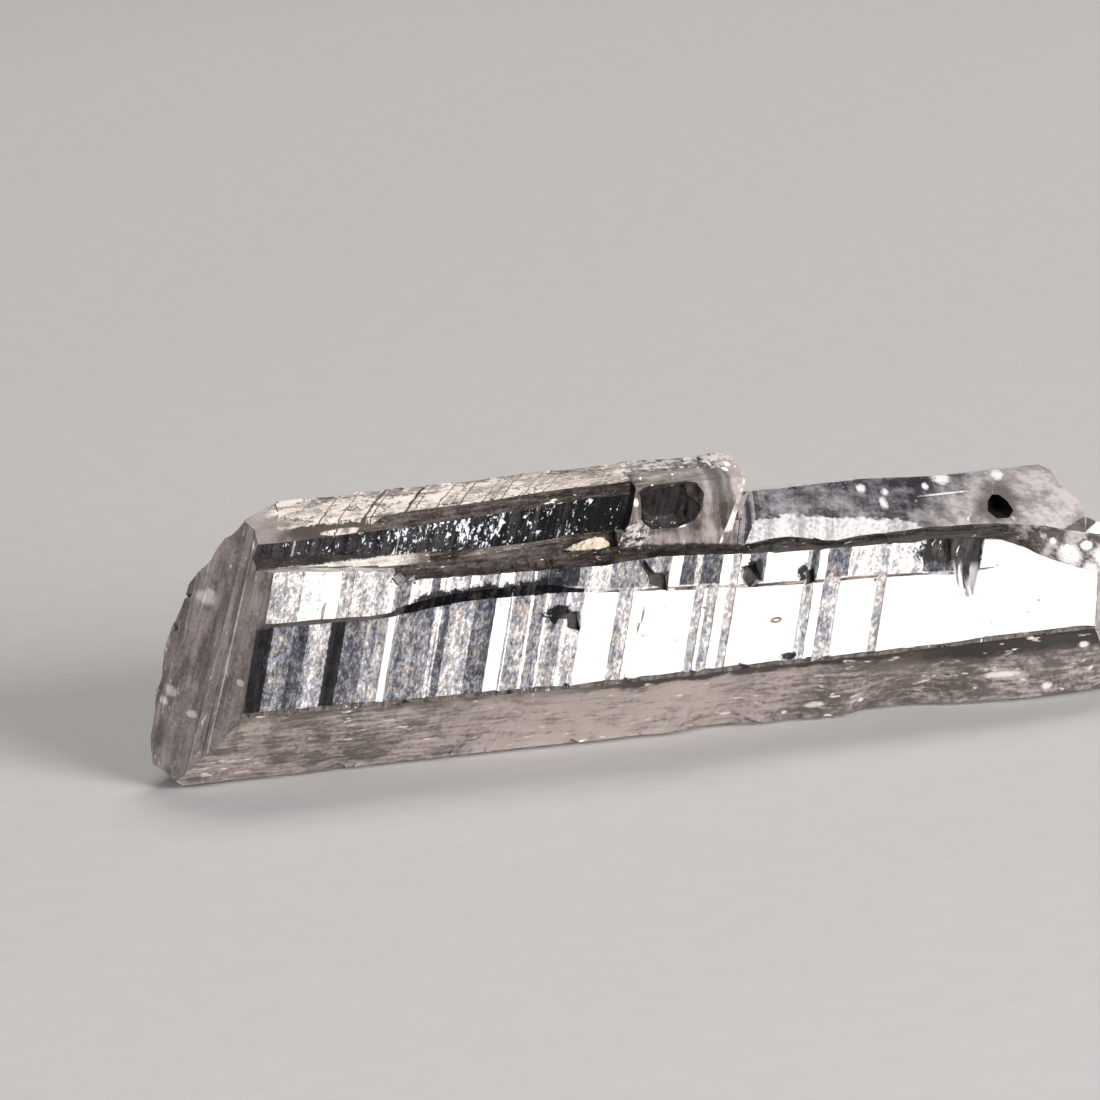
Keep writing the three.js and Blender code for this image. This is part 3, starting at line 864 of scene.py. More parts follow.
@dataclass(frozen=True)
class SeamFinish(CrystalFinish):
    """The bright granular seam along the band's foot; above its top it is as dark as the band."""

    top: float = 7.48
    dark: Colour = (0.008, 0.008, 0.01)

    def veil_tone(self, spot: Spot) -> Socket:
        """Bright below, near black above the seam's ragged top, on the left.

        Args:
            spot: the signals of a point.

        Returns:
            The colour.
        """
        ragged = spot.z + spot.wobble(0.2, 0.12)
        above = ragged.ramp(self.top - 0.04, self.top + 0.04) * spot.x.ramp(9.0, 8.4)
        return spot.graph.blend(above, super().veil_tone(spot), self.dark)

    def sparkle_share(self, spot: Spot) -> Signal:
        """No painted sparkle above the seam's top."""
        seam = spot.z.ramp(self.top + 0.02, self.top - 0.06).most(spot.x.ramp(8.4, 9.0))
        return super().sparkle_share(spot) * seam


@dataclass(frozen=True)
class SlopeFinish(CrystalFinish):
    """The upper slope: slate and mottled to the left, pearly towards the right end."""

    pearl: Colour = (0.52, 0.475, 0.48)
    pearl_low: Colour = (0.24, 0.213, 0.218)
    foot: Colour = (0.76, 0.73, 0.745)
    foot_low: Colour = (0.4, 0.375, 0.39)
    hole_shade: Colour = (0.1, 0.085, 0.08)
    hole_place: tuple[float, ...] = (29.42, 6.95, 0.95, 0.8)
    foot_top: Table = (
        (18.3, 6.5), (18.6, 7.32), (19.8, 7.38), (21.1, 7.2), (23, 6.96), (24.2, 6.83), (25.1, 6.5),
        (25.6, 5.5),
    )

    def veil_tone(self, spot: Spot) -> Socket:
        """Slate to pearl along the crystal, both in soft clouds.

        Args:
            spot: the signals of a point.

        Returns:
            The colour.
        """
        graph = spot.graph
        broken = graph.noise(graph.vector(spot.x * 0.8 + spot.z * 0.5, spot.y, spot.z), 1.5, 5.0, 0.68)
        tone = graph.table(spot.slant, self.tone_along) - 0.5
        share = broken * 0.62 + spot.lines * 0.2 + spot.grit * 0.18 + tone * 0.3
        upright = spot.streaks(0.02, 4.2, 3.0, 0.7)
        share = share + (upright.swing(0.8) - 0.05) * spot.slant.ramp(19.6, 18.6)
        plain = graph.blend(share.ramp(0.4, 0.66), self.veil_low, self.veil)
        soft = graph.blend(broken.ramp(0.36, 0.62), self.pearl_low, self.pearl)
        pearly = (spot.slant + spot.clouds.swing(5.0) + (spot.z - 7.3) * -1.5).ramp(24.6, 28.0)
        ground = graph.blend(pearly, plain, soft)
        shade = graph.ovals(spot.x, spot.z, (self.hole_place,), broken, 1.2, (1.3, 0.3))
        ground = graph.blend(shade * 0.85, ground, self.hole_shade)
        below = graph.line(spot.slant, self.foot_top) - spot.z + spot.grit.swing(0.2) + broken.swing(0.3)
        lit = graph.blend((spot.grit * 0.5 + spot.lines * 0.5).ramp(0.4, 0.58), self.foot_low, self.foot)
        return graph.blend(below.ramp(-0.03, 0.05), ground, lit)

    def cover(self, spot: Spot) -> Signal:
        """The pearly end is fully veiled."""
        pearly = spot.slant.ramp(24.5, 28.0)
        return super().cover(spot).most(pearly * self.veil_share[1])


@dataclass(frozen=True)
class BlockFinish(CrystalFinish):
    """The thick clear end of the shorter crystal: smoky, with upright facets and a cream crest."""

    crest: Colour = (0.88, 0.81, 0.77)
    swirl: Colour = (0.64, 0.58, 0.55)
    crest_height: float = 9.44
    columns: Table = (
        (15.2, 0.7), (15.35, 0.4), (15.9, 0.42), (18.1, 0.45), (18.3, 0.66), (18.5, 0.3), (18.75, 0.12),
        (18.95, 0.4), (19.15, 0.3), (19.3, 0.7), (19.8, 0.8),
    )  # how light the upright facets are, by x

    def _ragged(self, spot: Spot) -> Signal:
        """Height with a broken edge."""
        return spot.z + spot.wobble(0.5, 0.3)

    def veil_tone(self, spot: Spot) -> Socket:
        """Smoky, lighter in some facets and at the foot, cream along the crest.

        Args:
            spot: the signals of a point.

        Returns:
            The colour.
        """
        graph = spot.graph
        bowed = spot.x + (spot.z - 8.2) * 0.08 + spot.clouds.swing(0.3)
        column = graph.table(bowed, self.columns) - 0.5
        foot = spot.z.ramp(7.45, 7.1)
        brow = spot.z.ramp(8.85, 9.1) * spot.x.ramp(18.5, 18.2)
        streaks = graph.noise(graph.vector(spot.x * 0.25, spot.y, spot.z), 5.0, 4.0, 0.65)
        upright = graph.noise(graph.vector(spot.x, 0.0, spot.z * 0.2), 3.0, 4.0, 0.6)
        fine = upright + (streaks - upright) * brow
        share = fine * 0.55 + spot.grit * 0.15 + spot.clouds * 0.3 + column * 0.42 + foot * 0.1
        plain = graph.blend(share.ramp(0.36, 0.68), self.veil_low, self.veil)
        bend = graph.vector(spot.x + spot.clouds * 1.6, spot.y, spot.z * 1.6 - spot.x * 0.5)
        swirled = graph.blend(graph.noise(bend, 3.4, 4.0, 0.72).ramp(0.44, 0.58), self.veil_low, self.swirl)
        plain = graph.blend(spot.z.ramp(8.0, 7.6) * spot.x.ramp(16.4, 15.6), plain, swirled)
        crest = self._ragged(spot).ramp(self.crest_height - 0.08, self.crest_height + 0.08)
        gaps = graph.noise(graph.vector(spot.x, spot.y, spot.x * 0.5), 3.0, 4.0, 0.68).ramp(0.4, 0.56)
        left = (spot.z - 7.1) * 0.5 + 18.7
        right = (spot.z - 7.0) * 0.35 + 19.12
        sliver = (spot.x - left).ramp(0.0, 0.06) * (spot.x - right).ramp(0.03, -0.03)
        sliver = sliver * spot.z.ramp(8.8, 8.6) * spot.z.ramp(7.05, 7.2)
        lit = graph.blend((crest * gaps).most(sliver), plain, self.crest)
        deep = graph.line(spot.slant, LEDGE) - spot.z + spot.grit.swing(0.25)
        return graph.blend(deep.ramp(-0.08, 0.02), lit, self.veil_low)

    def cover(self, spot: Spot) -> Signal:
        """The crest is the most veiled."""
        crest = self._ragged(spot).ramp(self.crest_height - 0.1, self.crest_height + 0.1)
        return super().cover(spot).most(crest * 0.95)


@dataclass(frozen=True)
class LedgeFinish(CrystalFinish):
    """The rough ledge: dark, and pearly at the right end, where its lumps carry painted highlights."""

    pearl: Colour = (0.52, 0.475, 0.465)
    pearl_low: Colour = (0.1, 0.085, 0.082)
    # painted highlights: white blobs where the lumps at the right end catch the light
    white: Colour = (0.95, 0.93, 0.94)
    lumps: Ovals = (
        (31.69, 4.99, 0.42, 0.3), (32.35, 4.4, 0.34, 0.24), (31.2, 5.5, 0.12, 0.1), (30.4, 4.9, 0.2, 0.14),
        (33.0, 4.7, 0.3, 0.3), (32.5, 5.2, 0.2, 0.14),
    )

    def veil_tone(self, spot: Spot) -> Socket:
        """Dark, turning to mottled pearl along the crystal, with painted highlights on the lumps.

        Args:
            spot: the signals of a point.

        Returns:
            The colour.
        """
        graph = spot.graph
        mottle = graph.noise(spot.here, 1.7, 5.0, 0.65)
        pearly = graph.blend(mottle.ramp(0.42, 0.58), self.pearl_low, self.pearl)
        # painted highlights on the lumps
        lumps = graph.ovals(spot.x, spot.z, self.lumps, mottle * 0.5 + spot.grit * 0.5, 6.0, (2.0, 0.2))
        pearly = graph.blend(lumps, pearly, self.white)
        share = (spot.slant + mottle.swing(4.0)).ramp(28.7, 30.5)
        return graph.blend(share, super().veil_tone(spot), pearly)


@dataclass(frozen=True)
class BevelFinish(CrystalFinish):
    """The frosted lower bevel, darker along the ridge, the more so to the right."""

    dark: Colour = (0.022, 0.018, 0.017)
    reach: float = 0.5

    def _under(self, spot: Spot) -> Signal:
        """The dark strip under the ridge, 0..1: thin to the left, broad to the right.

        Args:
            spot: the signals of a point.

        Returns:
            Its share.
        """
        depth = spot.graph.line(spot.slant, RIDGE) - spot.z + spot.wobble(0.2, 0.5)
        right = spot.slant.ramp(20.0, 27.0)
        strip = (depth - right * 0.45).ramp(self.reach, 0.0) * right.span(0.5, 0.97)
        return strip.most(depth.ramp(0.3, 0.16) * spot.slant.ramp(9.0, 15.0) * 0.95)

    def veil_tone(self, spot: Spot) -> Socket:
        """Frosted, and dark under the ridge."""
        return spot.graph.blend(self._under(spot), super().veil_tone(spot), self.dark)

    def cover(self, spot: Spot) -> Signal:
        """The dark strip is fully veiled."""
        return super().cover(spot).most(self._under(spot))


@dataclass(frozen=True)
class PitFinish(CrystalFinish):
    """Broken ground: near black, and streaked with bright splinters in the lower part of the large break."""

    bright: Colour = (0.88, 0.86, 0.88)
    from_along: float = 25.6
    below: float = 5.15

    def veil_tone(self, spot: Spot) -> Socket:
        """Dark, with bright streaks low in the break.

        Args:
            spot: the signals of a point.

        Returns:
            The colour.
        """
        graph = spot.graph
        streaks = graph.noise(graph.vector(spot.slant + spot.z * 0.12, 0.0, spot.z * 0.12), 4.5, 3.0, 0.6)
        low = (spot.z + spot.clouds.swing(0.8)).ramp(self.below + 0.15, self.below - 0.25)
        bright = (streaks + spot.z.ramp(5.4, 4.4) * 0.1).ramp(0.42, 0.56)
        share = bright * low * spot.slant.ramp(25.2, self.from_along)
        return graph.blend(share, super().veil_tone(spot), self.bright)


@dataclass(frozen=True)
class MatrixFinish:
    """Cream-yellow mineral grain, sugary and matt."""

    name: str = "cream_matrix"
    pale: Colour = (0.88, 0.77, 0.66)
    sand: Colour = (0.66, 0.5, 0.36)
    deep: Colour = (0.78, 0.55, 0.16)

    def material(self, space: CrystalSpace) -> bpy.types.Material:
        """Build the material.

        Args:
            space: the crystal's own space.

        Returns:
            The material.
        """
        graph = Graph(self.name)
        x, y, z = graph.place(space.shift)
        here = graph.vector(x, y, z)
        clouds = graph.noise(here, 3.5, 4.0, 0.6)
        sugar = graph.cells(here, 16.0)
        rough = graph.noise(here, 28.0, 4.0, 0.7)
        height = Signal(graph, sugar.outputs["Distance"]) * 0.6 + rough * 0.4
        yellow = x.ramp(14.3, 14.5) * rough.ramp(0.42, 0.55)
        hollows = (rough * 0.5 + clouds * 0.5).ramp(0.56, 0.44)
        colour = graph.blend(yellow, graph.blend(hollows, self.pale, self.sand), self.deep)
        return graph.finish(graph.principled({
            "Base Color": colour, "Roughness": rough.span(0.6, 0.95), "Normal": graph.bump(height, 0.04),
            "Subsurface Weight": 0.25, "Subsurface Scale": 0.2 * MM,
        }))


@dataclass(frozen=True)
class FloorFinish:
    """Plain pale studio card."""

    name: str = "pale_card"
    colour: Colour = (0.75, 0.742, 0.735)

    def material(self, space: CrystalSpace) -> bpy.types.Material:
        """Build the material.

        Args:
            space: the crystal's own space.

        Returns:
            The material.
        """
        graph = Graph(self.name)
        x, y, z = graph.place(space.shift)
        fibre = graph.noise(graph.vector(x, y, z), 0.6, 5.0, 0.6)
        darker = tuple(c * 0.97 for c in self.colour)
        return graph.finish(graph.principled({
            "Base Color": graph.blend(fibre.ramp(0.3, 0.7), darker, self.colour),
            "Roughness": fibre.span(0.75, 0.9), "Normal": graph.bump(fibre, 0.02),
        }))


# ---------------------------------------------------------------- work in edit mode


class Bench:
    """Selecting and editing meshes as a modeller would by hand."""

    @staticmethod
    def only(piece: Solid) -> None:
        """Select one object and make it active.

        Args:
            piece: the object.
        """
        for other in bpy.context.selected_objects:
            other.select_set(False)
        piece.select_set(True)
        bpy.context.view_layer.objects.active = piece

    @staticmethod
    def edit(mode: str) -> None:
        """Enter edit mode with a select mode of VERT, EDGE or FACE."""
        bpy.ops.object.mode_set(mode="EDIT")
        bpy.ops.mesh.select_mode(type=mode)

    @staticmethod
    def done() -> None:
        """Leave edit mode."""
        bpy.ops.object.mode_set(mode="OBJECT")

    @classmethod
    def copy_of(cls, node_name: str, name: str, cuts: int = 0) -> Solid:
        """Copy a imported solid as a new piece, with its loose triangles merged.

        Args:
            node_name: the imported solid.
            name: the new piece's name.
            cuts: how many times each of its edges is cut.

        Returns:
            The new piece, selected and active.
        """
        node = bpy.data.objects[node_name]
        piece = node.copy()
        piece.data = node.data.copy()
        piece.name = name
        piece.parent = None
        for key in list(piece.keys()):
            del piece[key]
        piece.matrix_world = Matrix.Identity(4)
        bpy.context.scene.collection.objects.link(piece)
        cls.only(piece)
        cls.edit("VERT")
        bpy.ops.mesh.select_all(action="SELECT")
        bpy.ops.mesh.remove_doubles(threshold=SAME_POINT)
        if cuts:
            bpy.ops.mesh.subdivide(number_cuts=cuts)
        cls.done()
        return piece

    @classmethod
    def wear(cls, piece: Solid, name: str, kind: str, size: float, depth: float, group: str = "") -> None:
        """Wear a piece inwards with a noise.

        Args:
            piece: the piece.
            name: a name for the noise and the modifier.
            kind: the noise's texture type.
            size: the size of its features, in mm.
            depth: the most it wears away, in mm.
            group: the vertex group to keep to, if not all of the piece.
        """
        noise = bpy.data.textures.new(name, type=kind)
        noise.noise_scale = size * MM
        modifier = piece.modifiers.new(name, "DISPLACE")
        modifier.texture = noise
        modifier.texture_coords = "LOCAL"
        modifier.vertex_group = group
        modifier.mid_level = 1.0
        modifier.strength = depth * MM
        cls.only(piece)
        bpy.ops.object.modifier_apply(modifier=name)

    @staticmethod
    def hand_over(piece: Solid, node_name: str, slot: str) -> Solid:
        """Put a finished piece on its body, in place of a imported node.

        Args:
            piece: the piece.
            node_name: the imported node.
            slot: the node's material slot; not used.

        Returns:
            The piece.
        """
        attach(piece, "root")
        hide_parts(node_name)
        LOG.info("%s: %d faces", piece.name, len(piece.data.polygons))
        return piece


# ---------------------------------------------------------------- the crystal


class Zone(Enum):
    """The kinds of face on the crystal; a face's material slot is its place in this list."""

    BACK = 0
    BROAD = 1
    STEP = 2
    BEVEL = 3
    LEFT_END = 4
    LEDGE = 5
    SLOPE = 6
    BAND = 7
    CREAM = 8
    BLOCK = 9
    RIGHT_END = 10
    PIT = 11
    DARK_STEP = 12
    LIP = 13
    SEAM = 14
    GREY = 15
    HOLLOW = 16
    RIDGE_LINE = 17


# Some finishes paint light into their colour: painted sparkle, painted highlights, a painted shadow on the
# layer's lip and painted shade in the hollows.
FINISHES: Mapping[Zone, CrystalFinish] = {
    Zone.BACK: CrystalFinish("clear_back", veil_share=(0.0, 0.08)),
    Zone.BROAD: BroadFinish("broad_face", polish=(0.015, 0.05), dust=0.2),
    Zone.STEP: BroadFinish("growth_step", polish=(0.03, 0.12), dust=0.1, least_etched=0.3),
    Zone.DARK_STEP: CrystalFinish(
        "dark_step", tint=(0.02, 0.02, 0.022), polish=(0.3, 0.5), line_depth=0.002, grit_depth=0.004,
        veil_share=(0.95, 1.0), sheen=0.05, veil=(0.04, 0.036, 0.038), veil_low=(0.005, 0.005, 0.006),
    ),
    # painted shadow: the lip's wall is near black, the shade under the upper layer's overhang; greyer to the
    # left, where that shade is soft
    Zone.LIP: CrystalFinish(
        "lip_painted_shadow", tint=(0.05, 0.048, 0.045), polish=(0.2, 0.5), veil_share=(0.98, 1.0), sheen=0.02,
        line_depth=0.004, grit_depth=0.006, grit_scale=8.0, veil=(0.15, 0.135, 0.13),
        veil_low=(0.003, 0.003, 0.004), tone_spread=0.2,
        tone_along=((0, 0.55), (1.2, 0.8), (4.4, 0.75), (5.6, 0.15), (7, 0), (33, 0)),
    ),
    Zone.RIDGE_LINE: CrystalFinish(
        "ridge_line", tint=(0.06, 0.055, 0.05), polish=(0.1, 0.4), veil_share=(0.8, 1.0), sheen=0.2,
        line_depth=0.004, grit_depth=0.02, veil=(0.2, 0.165, 0.15),
        veil_low=(0.012, 0.01, 0.009), sparkle_flecks=0.35, fleck_scale=9.0,
    ),
    Zone.BEVEL: BevelFinish(
        "frosted_bevel", polish=(0.35, 0.55), veil_share=(0.75, 0.95), lines=Grain.LENGTH, line_depth=0.01,
        line_scale=7.0, grit_depth=0.01, grit_scale=6.0, veil=(0.45, 0.38, 0.36), veil_low=(0.1, 0.084, 0.08),
        veil_scale=0.9, tone_spread=0.1, sparkle_flecks=0.48, fleck_stretch=0.3, fleck_edge=0.1,
        sparkle_colour=(0.72, 0.65, 0.62),
        tone_along=((0, 0.5), (5, 0.4), (11, 0.72), (18, 0.7), (23, 0.35), (33, 0.4)),
        # painted highlights
        painted_glints=(
            (30.4, 0.35, 0.16, 0.12), (31.8, 1.8, 0.16, 0.1), (28.75, 0.95, 0.6, 0.1),
            (21.7, 0.5, 0.28, 0.09), (23.45, 0.5, 0.1, 0.08), (18.5, 0.45, 0.14, 0.06),
            (20.6, 0.3, 0.08, 0.06),
        ),
    ),
    Zone.LEFT_END: CrystalFinish(
        "frosted_end", polish=(0.35, 0.55), veil_share=(0.75, 0.95), lines=Grain.END, line_depth=0.008,
        line_scale=2.4, line_stretch=0.22, grit_depth=0.012, grit_scale=8.0, veil=(0.48, 0.405, 0.39),
        veil_low=(0.13, 0.11, 0.107), veil_scale=1.1, sparkle_flecks=0.42, fleck_stretch=0.6,
        sparkle_colour=(0.74, 0.7, 0.69), fleck_edge=0.1,
        # painted highlights
        painted_glints=(
            (-0.04, 6.43, 0.24, 0.2), (0.12, 6.6, 0.1, 0.12), (-1.52, 3.2, 0.12, 0.16),
            (-1.75, 2.84, 0.09, 0.12), (-1.05, 2.5, 0.12, 0.1), (0.46, 3.71, 0.08, 0.09),
        ),
    ),
    Zone.LEDGE: LedgeFinish(
        "rough_ledge", tint=(0.05, 0.046, 0.043), polish=(0.2, 0.5), veil_share=(0.85, 1.0), sheen=0.15,
        lines=Grain.LENGTH, line_depth=0.01, line_scale=7.0, grit_depth=0.03, grit_scale=9.0,
        veil=(0.13, 0.105, 0.096), veil_low=(0.008, 0.007, 0.006), sparkle_flecks=0.35, fleck_scale=7.0,
        sparkle_colour=(0.4, 0.34, 0.31),
        tone_along=((0, 0.6), (10, 0.55), (14, 0.35), (24, 0.3), (28, 0.35), (31, 0.6), (33, 0.9)),
    ),
    Zone.SLOPE: SlopeFinish(
        "pearly_slope", tint=(0.4, 0.42, 0.47), polish=(0.1, 0.3), veil_share=(0.8, 1.0), veil_scale=1.0,
        line_scale=2.5, grit_depth=0.004, grit_scale=7.0, veil=(0.36, 0.345, 0.38), sheen=0.15,
        veil_low=(0.022, 0.023, 0.032), sparkle_flecks=0.35, fleck_scale=2.4, fleck_stretch=0.8, fleck_edge=0.12,
        sparkle_colour=(0.8, 0.77, 0.79),
        # painted highlights
        painted_glints=(
            (24.46, 7.91, 0.14, 0.12), (25.3, 7.71, 0.12, 0.1), (25.12, 7.38, 0.12, 0.17),
            (27.58, 7.93, 0.26, 0.15), (29.72, 7.87, 0.18, 0.13), (26.9, 7.75, 0.1, 0.09),
            (27.65, 7.46, 0.8, 0.025),
        ),
        tone_along=((0, 0.5), (19.6, 0.55), (21, 0.45), (24, 0.35), (28, 0.5), (33, 0.5)),
    ),
    Zone.BAND: BandFinish(
        "smoky_band", tint=(0.05, 0.053, 0.06), polish=(0.15, 0.3), veil_share=(0.95, 1.0), sheen=0.05,
        grit_depth=0.012, grit_scale=10.0, veil=(0.06, 0.056, 0.058),
        veil_low=(0.003, 0.003, 0.004), sparkle_flecks=0.5, fleck_scale=8.0, sparkle_colour=(0.72, 0.76, 0.84),
        tone_along=((0, 0.5), (8, 0.45), (10, 0.3), (13, 0.15)),
    ),
    Zone.GREY: CrystalFinish(
        "grey_bevel", tint=(0.3, 0.29, 0.28), polish=(0.15, 0.3), veil_share=(0.9, 1.0), sheen=0.12,
        lines=Grain.LENGTH, line_scale=9.0, grit_depth=0.015, grit_scale=9.0,
        veil=(0.17, 0.14, 0.13), veil_low=(0.012, 0.01, 0.009), sparkle_flecks=0.2, fleck_scale=6.0,
        fleck_stretch=0.3, tone_along=((0, 0.6), (6, 0.45), (10, 0.35), (13, 0.3)),
    ),
    Zone.SEAM: SeamFinish(
        "bright_seam", polish=(0.05, 0.25), veil_share=(0.6, 0.95), lines=Grain.LENGTH,
        line_scale=6.0, grit_depth=0.02, grit_scale=9.0, veil=(0.92, 0.86, 0.82), veil_low=(0.16, 0.13, 0.12),
        sparkle_flecks=0.5, fleck_scale=6.0,
        tone_along=((0, 0.8), (5, 0.9), (6.3, 0), (8, 0.2), (13, 0.2), (14, 0.6), (19, 0.6)),
    ),
    Zone.CREAM: CreamFinish(
        "cream_bevel", polish=(0.1, 0.3), veil_share=(0.7, 0.95), lines=Grain.LENGTH,
        line_scale=3.0, grit_depth=0.01, grit_scale=6.0, veil=(0.95, 0.84, 0.77), veil_low=(0.3, 0.24, 0.21),
        tone_along=((0, 0.6), (6, 0.7), (10, 0.62), (13, 0.5)), tone_spread=0.1,
    ),
    Zone.BLOCK: BlockFinish(
        "clear_block", tint=(0.5, 0.46, 0.44), polish=(0.06, 0.2), veil_share=(0.8, 0.96), sheen=0.12,
        line_scale=2.0, grit_depth=0.006, grit_scale=4.0, veil=(0.42, 0.355, 0.34),
        veil_low=(0.035, 0.029, 0.028), sparkle_flecks=0.35, fleck_scale=4.0,
        # painted highlights
        painted_glints=(
            (15.32, 8.95, 0.05, 0.12), (15.42, 8.72, 0.07, 0.16), (15.54, 8.5, 0.1, 0.13),
            (19.3, 9.4, 0.1, 0.06), (18.7, 9.5, 0.05, 0.1), (16.3, 7.55, 0.08, 0.05),
            (17.2, 7.5, 0.12, 0.04),
        ),
    ),
    # painted shade: the inside of the block's hollow and of the slope's hole is near black
    Zone.HOLLOW: CrystalFinish(
        "hollow_painted_shade", tint=(0.04, 0.04, 0.042), polish=(0.2, 0.4), veil_share=(0.95, 1.0), sheen=0.03,
        line_depth=0.004, grit_depth=0.01, grit_scale=6.0, veil=(0.036, 0.031, 0.03),
        veil_low=(0.004, 0.004, 0.004),
    ),
    Zone.RIGHT_END: CrystalFinish(
        "frosted_lumps", polish=(0.2, 0.4), veil_share=(0.6, 0.9), line_depth=0.012, line_scale=1.5,
        grit_depth=0.012, grit_scale=4.0, veil=(0.5, 0.46, 0.45), veil_low=(0.3, 0.275, 0.27),
    ),
    Zone.PIT: PitFinish(
        "rough_pit", tint=(0.05, 0.048, 0.045), polish=(0.2, 0.4), veil_share=(0.9, 1.0), sheen=0.08,
        line_depth=0.02, grit_depth=0.02, grit_scale=7.0, veil=(0.09, 0.08, 0.078),
        veil_low=(0.005, 0.005, 0.006), sparkle_flecks=0.4, fleck_scale=6.0,
    ),
}


# How many cuts each kind of ground gets, how many times it is then eased, and how it is worn.
FINER_ZONES = (
    ((Zone.BEVEL,), 3),
    ((Zone.LEFT_END, Zone.RIGHT_END), 5),
    ((Zone.LEDGE, Zone.PIT, Zone.RIDGE_LINE), 3),
    ((Zone.CREAM, Zone.BAND, Zone.SLOPE, Zone.SEAM, Zone.GREY), 2),
)
EASED_ZONES = (((Zone.BEVEL,), 14), ((Zone.CREAM, Zone.SLOPE), 2))
WORN_ZONES = (  # a name, the zones, the size of the wear's features and its depth, both in mm
    ("bevel_wear", (Zone.BEVEL,), 0.5, 0.06),
    ("end_wear", (Zone.LEFT_END,), 0.6, 0.08),
    ("ledge_wear", (Zone.LEDGE, Zone.PIT), 0.22, 0.1),
    ("ridge_wear", (Zone.RIDGE_LINE,), 0.12, 0.04),
    ("lump_wear", (Zone.RIGHT_END,), 0.7, 0.2),
    ("upper_wear", (Zone.CREAM, Zone.BAND, Zone.SEAM, Zone.GREY), 0.35, 0.03),
)


# Where the kinds of face change, in the crystal's own space. "Along" is x where a place's growth line
# meets the ridge.
RIDGE_UNDER, RIDGE_OVER = 0.03, 0.13  # how far below and above the ridge its worn edge reaches
RIDGE_BACK = 0.3  # y behind the worn edge
BEVEL_BACK = 2.4  # y behind the lower bevel
FACE_DEPTH = 0.36  # how far the growth steps and shallow breaks leave the broad face's plane
DEEP = 0.08  # and from how far behind it a face is broken ground
LEDGE_BACK = 1.95  # y behind the ledge
LEDGE_DROP = 0.6  # how far below the broad face's top it still is the ledge
PIT_BACK, PIT_FOOT = 1.4, 2.5  # y behind the breaks in the front, and z below them
SLOPE_FROM, SLOPE_FOOT = 13, 6  # where the upper slope starts, along, and z below it
SLOPE_FRONT, SLOPE_BACK = 1.5, 3.8  # y of the slope
UPPER_END = 19.9  # x of the shorter crystal's right end
UPPER_BACK = 5.4  # y behind it
UPPER_FOOT = 6.7  # z of its foot, in front of which the long one's ledge lies
UPPER_BODY = 7.5  # z above which all is its own
UPPER_FRONT = 1.47  # y of its front at its foot
BLOCK_FROM = BLOCK_START - 0.1  # along
BLOCK_FRONT = (1.35, 2.2)  # y of the block's front faces
BLOCK_RIGHT = 19.5  # x of the block's last front face
RIGHT_END_FROM = 30.5  # x
SEAM_END = 4.9  # where the seam under the upper crystal gives way to the ledge, along
HOLE_X, HOLE_Z, HOLE_BACK = (28.5, 30.3), (6.3, 7.6), 3.4  # the hole in the upper slope
LAYER_END = 12.3  # where the layer's lip ends, along
LEFT_STEP = 0.7  # where the first, dark growth step ends, along
SECOND_STEP = (3, 3.5)  # the second one
BLOCK_PIT = ((1.5, 2.3), (7.3, 8.3))  # y and z of the pit in the block's foot


